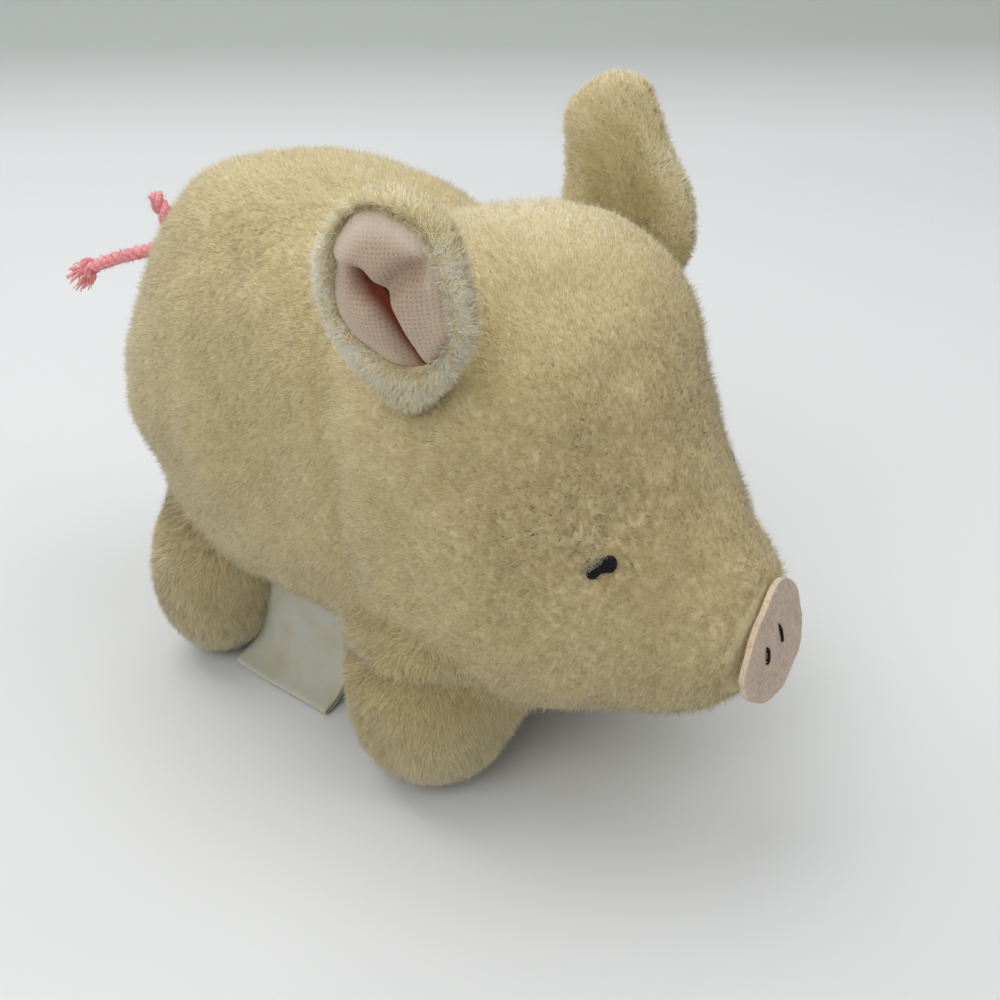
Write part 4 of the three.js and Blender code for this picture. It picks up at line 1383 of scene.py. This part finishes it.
# Snout: a hand-cut round of felt, with the nostrils stitched through it
discSet = {
    "centre": discCentre + np.array((1.7, 0, -0.7)) * mm,
    "normal": np.array((0.99, 0, 0.14)) / math.hypot(0.99, 0.14),
    "reach": [        # angle from the left of the pig, and the edge's distance
        (-180, 13.2), (-157, 12.9), (-138, 11.7), (-110, 11.4), (-86, 11.9), (-68, 12.2),
        (-54, 12.7), (-42, 13.0), (-29, 12.7), (-14, 12.1), (11, 11.6), (33, 11.8), (57, 12.8),
        (69, 13.2), (80, 13.0), (95, 12.3), (116, 11.0), (139, 10.9), (158, 11.6), (177, 13.0),
    ],
    "radius": 12.3 * mm, "insets": 11, "inset": 1.0 * mm, "thickness": 1.35 * mm, "sides": 120,
    "ripple": 0.16 * mm, "droop": 0.35 * mm, "dip": 0.42 * mm, "dipWidth": 1.5 * mm,
    "bevel": 0.22 * mm, "hairs": 5200, "hairWidth": 0.1 * mm,
}
nostrilSet = {
    "right": [(-3.7, 1.4), (-3.8, -1.8)], "left": [(1.3, 4.0), (2.5, -0.7)], "threads": 3,
    "radius": 0.13 * mm, "rise": 0.3 * mm, "spread": 0.2 * mm, "pitch": 1.1 * mm, "steps": 26,
    "sunk": 0.9 * mm, "sunkEdge": 0.15 * mm, "inset": 0.5 * mm, "slip": 0.35 * mm,
}
stitchSet = {"plies": 2, "plyOffset": 0.11 * mm, "around": 8}
blackThread = streakedMaterial(
    "blackThread", (0.7, 0.02), {"Scale": 6, "Detail": 3},
    [(0.3, srgb(4, 3, 6)), (0.75, srgb(20, 18, 23))], (0.6, 0.08 * mm),
)


def stitchTubes(line, pitch, phase, radius):
    strands = twisted(line, stitchSet["plies"], stitchSet["plyOffset"], pitch, phase)
    return [tubeRings(strand, radius, stitchSet["around"]) for strand in strands]


def makeDisc(centre, normal, aside, above):
    bpy.ops.mesh.primitive_circle_add(
        vertices=discSet["sides"], radius=discSet["radius"], fill_type="NGON",
    )
    disc = bpy.context.object
    disc.name = "snout_felt"

    def ringed():
        for _ in range(discSet["insets"]):
            bpy.ops.mesh.inset(thickness=discSet["inset"])
        bpy.ops.mesh.poke()

    onWholeMesh(disc, ringed)
    points = arraysOf(disc)[0]
    turn = np.arctan2(points[:, 1], points[:, 0])
    share = np.linalg.norm(points[:, :2], axis=1) / discSet["radius"]
    far = np.interp(np.degrees(turn), *zip(*discSet["reach"]), period=360) * mm * share
    flat = circleOf(turn) * far[:, None]
    rise = waves(np.c_[flat, flat[:, :1] * 0], 11 * mm, 51) * discSet["ripple"]
    rise = rise - (share ** 3) * discSet["droop"]
    for side in ("right", "left"):
        ends = np.array(nostrilSet[side]) * mm
        way = ends[1] - ends[0]
        along = np.clip(((flat - ends[0]) @ way) / (way @ way), 0, 1)
        gap = farFrom(flat, ends[0] + along[:, None] * way)
        rise = rise - discSet["dip"] * bell(gap, discSet["dipWidth"])
    setPoints(disc, centre + flat[:, :1] * aside + flat[:, 1:] * above + rise[:, None] * normal)
    if np.array(disc.data.polygons[0].normal) @ normal < 0:
        disc.data.flip_normals()
    applyModifier(disc, "SOLIDIFY", thickness=discSet["thickness"], offset=-1)
    applyModifier(
        disc, "BEVEL", width=discSet["bevel"], segments=3, limit_method="ANGLE",
        angle_limit=math.radians(50),
    )
    selectOnly(disc)
    bpy.ops.object.shade_smooth_by_angle(angle=math.radians(60))
    surface = arraysOf(disc)
    addValues(disc, "cutEdge", 1.25 - np.abs(surface[1] @ normal) * 1.5)
    finished(disc, "body", mottledMaterial(
        "pinkFelt", srgb(178, 156, 136), srgb(208, 189, 168), 1500, 190, 0.8, 0.12 * mm, 0.95, 0.2,
        0.7, srgb(224, 204, 174),
    ), ["snout_disc"])
    return surface


def makeSnout():
    centre, normal, aside = discSet["centre"], discSet["normal"], np.array((0, 1.0, 0))
    above = np.cross(normal, aside)
    above = above * (1 if above[2] > 0 else -1)
    surface = makeDisc(centre, normal, aside, above)

    # loose felt fibres, lying close on the face and standing at the cut edge
    rng = np.random.default_rng(61)
    places, outs = spreadOver(*surface, None, rng, discSet["hairs"])
    keep = (outs @ normal) > -0.5
    places, outs = places[keep], outs[keep]
    lying = unit(np.cross(outs, rng.normal(size=places.shape)))
    long = rng.uniform(0.5, 1.3, (len(places), 1)) * mm
    tips = places + lying * long + outs * rng.uniform(0.02, 0.2, (len(places), 1)) * mm
    felts = strandMesh(
        "snout_felt_fibres", places, tips, discSet["hairWidth"],
        rng.uniform(0, 1, len(places)), unit(np.cross(outs, lying)), outs,
    )
    finished(felts, "body", pileMaterial("feltFibre", [
        (0, srgb(184, 160, 142)), (0.5, srgb(208, 188, 170)), (1, srgb(230, 214, 196)),
    ], 0.95))

    # nostrils: a few turns of dark thread in one slot each
    for side in ("right", "left"):
        start, stop = (centre + (a * aside + b * above) * mm for a, b in nostrilSet[side])
        way = unit(stop - start)
        sideways = np.cross(way, normal)
        threads = []
        for number in range(nostrilSet["threads"]):
            shift = (number - (nostrilSet["threads"] - 1) / 2) * nostrilSet["spread"]
            slip = way * rng.normal(0, nostrilSet["slip"])
            rise = nostrilSet["rise"] * (1.3 if number == 1 else 0.9) - 0.35 * mm
            inset, below = way * nostrilSet["inset"], normal * nostrilSet["sunk"]
            edge = sideways * shift * 0.5 - normal * nostrilSet["sunkEdge"]
            line, _ = smoothRoute([
                start + slip - below, start + slip + inset + edge,
                (start + stop) / 2 + sideways * shift * 1.4 + normal * rise,
                stop + slip - inset + edge, stop + slip - below,
            ], nostrilSet["steps"])
            threads += stitchTubes(line, nostrilSet["pitch"], number, nostrilSet["radius"])
        stitch = joinedRings(f"{side}_nostril_thread", threads)
        finished(stitch, "body", blackThread, [f"{side}_nostril_stitch"])
    print("snout made")


makeSnout()


# Eyes: satin stitches over each other, fuller at the forward end
eyeLint = pileMaterial("greyLint", [
    (0, srgb(70, 66, 64)), (0.4, srgb(128, 118, 108)), (1, srgb(206, 192, 164)),
], 0.8)


def makeEye(side):
    rng = np.random.default_rng(71)
    rear, front = eyeEnds[side]
    point, normal, _, _ = skinTree.find_nearest(Vector((rear + front) / 2))
    place, out = np.array(point), np.array(normal)
    along = front - rear
    along = unit(along - out * (along @ out))
    wide = np.cross(out, along)
    wide = wide * (1 if wide[2] > 0 else -1)
    reach = float(np.linalg.norm(front - rear)) / 2
    big, small, waist = eyeSet["frontRadius"], eyeSet["rearRadius"], eyeSet["waist"]

    def spot(forward, aside, above):
        return place + along * forward + wide * aside + out * above

    threads = []
    for number in range(eyeSet["threads"]):
        share = number / (eyeSet["threads"] - 1) * 2 - 1
        bow = math.sqrt(max(0.0, 1 - share ** 2))
        top = eyeSet["base"] + eyeSet["rise"] * bow * rng.uniform(0.85, 1.1)
        line, _ = smoothRoute([
            spot(-reach - small * bow, share * small * 0.8, -eyeSet["sunk"]),
            spot(-reach - small * bow * 0.9, share * small * 0.9, top * 0.5),
            spot(-reach, share * small, top * 0.9),
            spot(-0.2 * mm, share * waist + 0.15 * mm, top * 0.85),
            spot(reach, share * big, top),
            spot(reach + big * bow * 0.9, share * big * 0.92, top * 0.5),
            spot(reach + big * bow, share * big * 0.85, -eyeSet["sunk"]),
        ], eyeSet["steps"])
        turned = number * eyeSet["turnEach"]
        threads += stitchTubes(line, eyeSet["pitch"], turned, eyeSet["radius"])
    eye = joinedRings(f"{side}_eye_thread", threads)
    finished(eye, "body", blackThread, [f"{side}_eye_stitch"])

    # grey fibres that lie over the upper rear of the stitches
    count = eyeSet["hairs"]
    forward, aside = rng.normal(-0.5, 1.5, count) * mm, rng.uniform(0.3, 1.9, count) * mm
    roots = np.array([spot(f, a, eyeSet["hairRise"]) for f, a in zip(forward, aside)])
    ways = wide * rng.uniform(0.2, 1, (count, 1)) + along * rng.normal(-0.1, 0.5, (count, 1))
    ways = unit(ways + out * 0.1)
    tips = roots + ways * rng.uniform(0.6, 1.5, (count, 1)) * mm
    lint = strandMesh(
        f"{side}_eye_lint", roots, tips, eyeSet["hairWidth"], rng.uniform(0, 1, count),
        unit(np.cross(ways, out)), np.broadcast_to(out, roots.shape),
    )
    finished(lint, "body", eyeLint)


makeEye("right")
makeEye("left")
print("eyes made")


# Care label: a folded satin strip, sewn in at the top and resting on the floor
labelSet = {
    "middle": -25.5, "topWidth": 24, "bottomWidth": 30.4, "skew": -2.4,
    "drop": [        # outwards and height, from the seam to the fold
        (-23.6, 28.2), (-23.9, 25.4), (-24.2, 21.0), (-24.5, 15.0), (-25.2, 9.5), (-26.6, 5.3),
        (-29.4, 2.9), (-33.0, 1.75),
    ],
    "gap": 0.95, "thickness": 0.28 * mm, "steps": 40, "across": 34, "threadPitch": 0.24,
    "cornerCurl": 1.5, "cornerFrom": 0.4, "wave": 0.12, "lowest": 0.3,
}


def labelMaterial():
    material, tree, shader = newMaterial("satinLabel", 0.5, 0.2)
    weave = wovenCloth(
        tree, labelSet["threadPitch"], srgb(166, 166, 150), srgb(202, 202, 186), 0.5,
    )
    stain = addNode(tree, "TexNoise", {"Scale": 0.13, "Detail": 3, "Vector": ownMap(tree)})
    spread = addNode(tree, "MapRange", {
        "From Min": 0.45, "From Max": 0.72, "To Max": 0.75, "Value": stain.outputs["Fac"],
    })
    colour = tinted(tree, spread.outputs["Result"], weave.outputs["Color"], srgb(184, 174, 142))
    surfaced(tree, shader, colour, weave.outputs["Height"], 0.5, 0.05 * mm)
    return material


def makeLabel():
    outer, _ = smoothRoute([(0, y, z) for y, z in labelSet["drop"]], labelSet["steps"])
    ways = unit(np.gradient(outer, axis=0))
    inwards = np.stack([ways[:, 0] * 0, -ways[:, 2], ways[:, 1]], axis=1)
    inwards = inwards * np.sign(inwards[:, 1:2] + 1e-9)
    share = np.linspace(0, 1, len(outer))[:, None]
    inner = outer + inwards * labelSet["gap"] * (0.5 + 0.5 * share)
    tip = (outer[-1] + inner[-1]) / 2 + ways[-1] * labelSet["gap"] * 0.6
    turn, _ = smoothRoute([outer[-2], outer[-1], tip, inner[-1], inner[-2]], 12)
    line = np.concatenate([outer[:-1], turn[2:-2], inner[:-1][::-1]])
    along = distanceAlong(line)
    down = np.clip((outer[0, 2] - line[:, 2]) / (outer[0, 2] - outer[-1, 2]), 0, 1)
    widths = labelSet["topWidth"] * (1 - down) + labelSet["bottomWidth"] * down
    points, uvs = [], []
    for spot, far, low, width in zip(line, along, down, widths):
        for aside in np.arange(labelSet["across"] + 1) / labelSet["across"] * 2 - 1:
            corner = labelSet["cornerCurl"] * max(-aside - labelSet["cornerFrom"], 0)
            curl = low ** 3 * (corner + labelSet["wave"] * math.sin(aside * 4))
            x = labelSet["middle"] + labelSet["skew"] * low + aside * width / 2
            points.append(np.array((x, spot[1], max(spot[2] + curl, labelSet["lowest"]))) * mm)
            uvs.append((x, far))
    faces = sheetFaces(len(line), labelSet["across"] + 1)
    label = meshPiece("care_label_satin", points, faces, uvs)
    if label.data.polygons[5].normal.y > 0:
        label.data.flip_normals()
    applyModifier(label, "SOLIDIFY", thickness=labelSet["thickness"], offset=0)
    finished(label, "label", labelMaterial(), ["care_label"])
    width = (labelSet["topWidth"] + labelSet["bottomWidth"]) / 2 * mm


makeLabel()


# Stuffing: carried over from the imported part, as white polyester wadding
wadding = mottledMaterial(
    "whiteWadding", srgb(214, 214, 208), srgb(244, 244, 240), 420, 90, 0.6, 0.5 * mm,
)
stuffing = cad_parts["stuffing"]
stuffing.data.materials.clear()
stuffing.data.materials.append(wadding)
print("covers dressed")
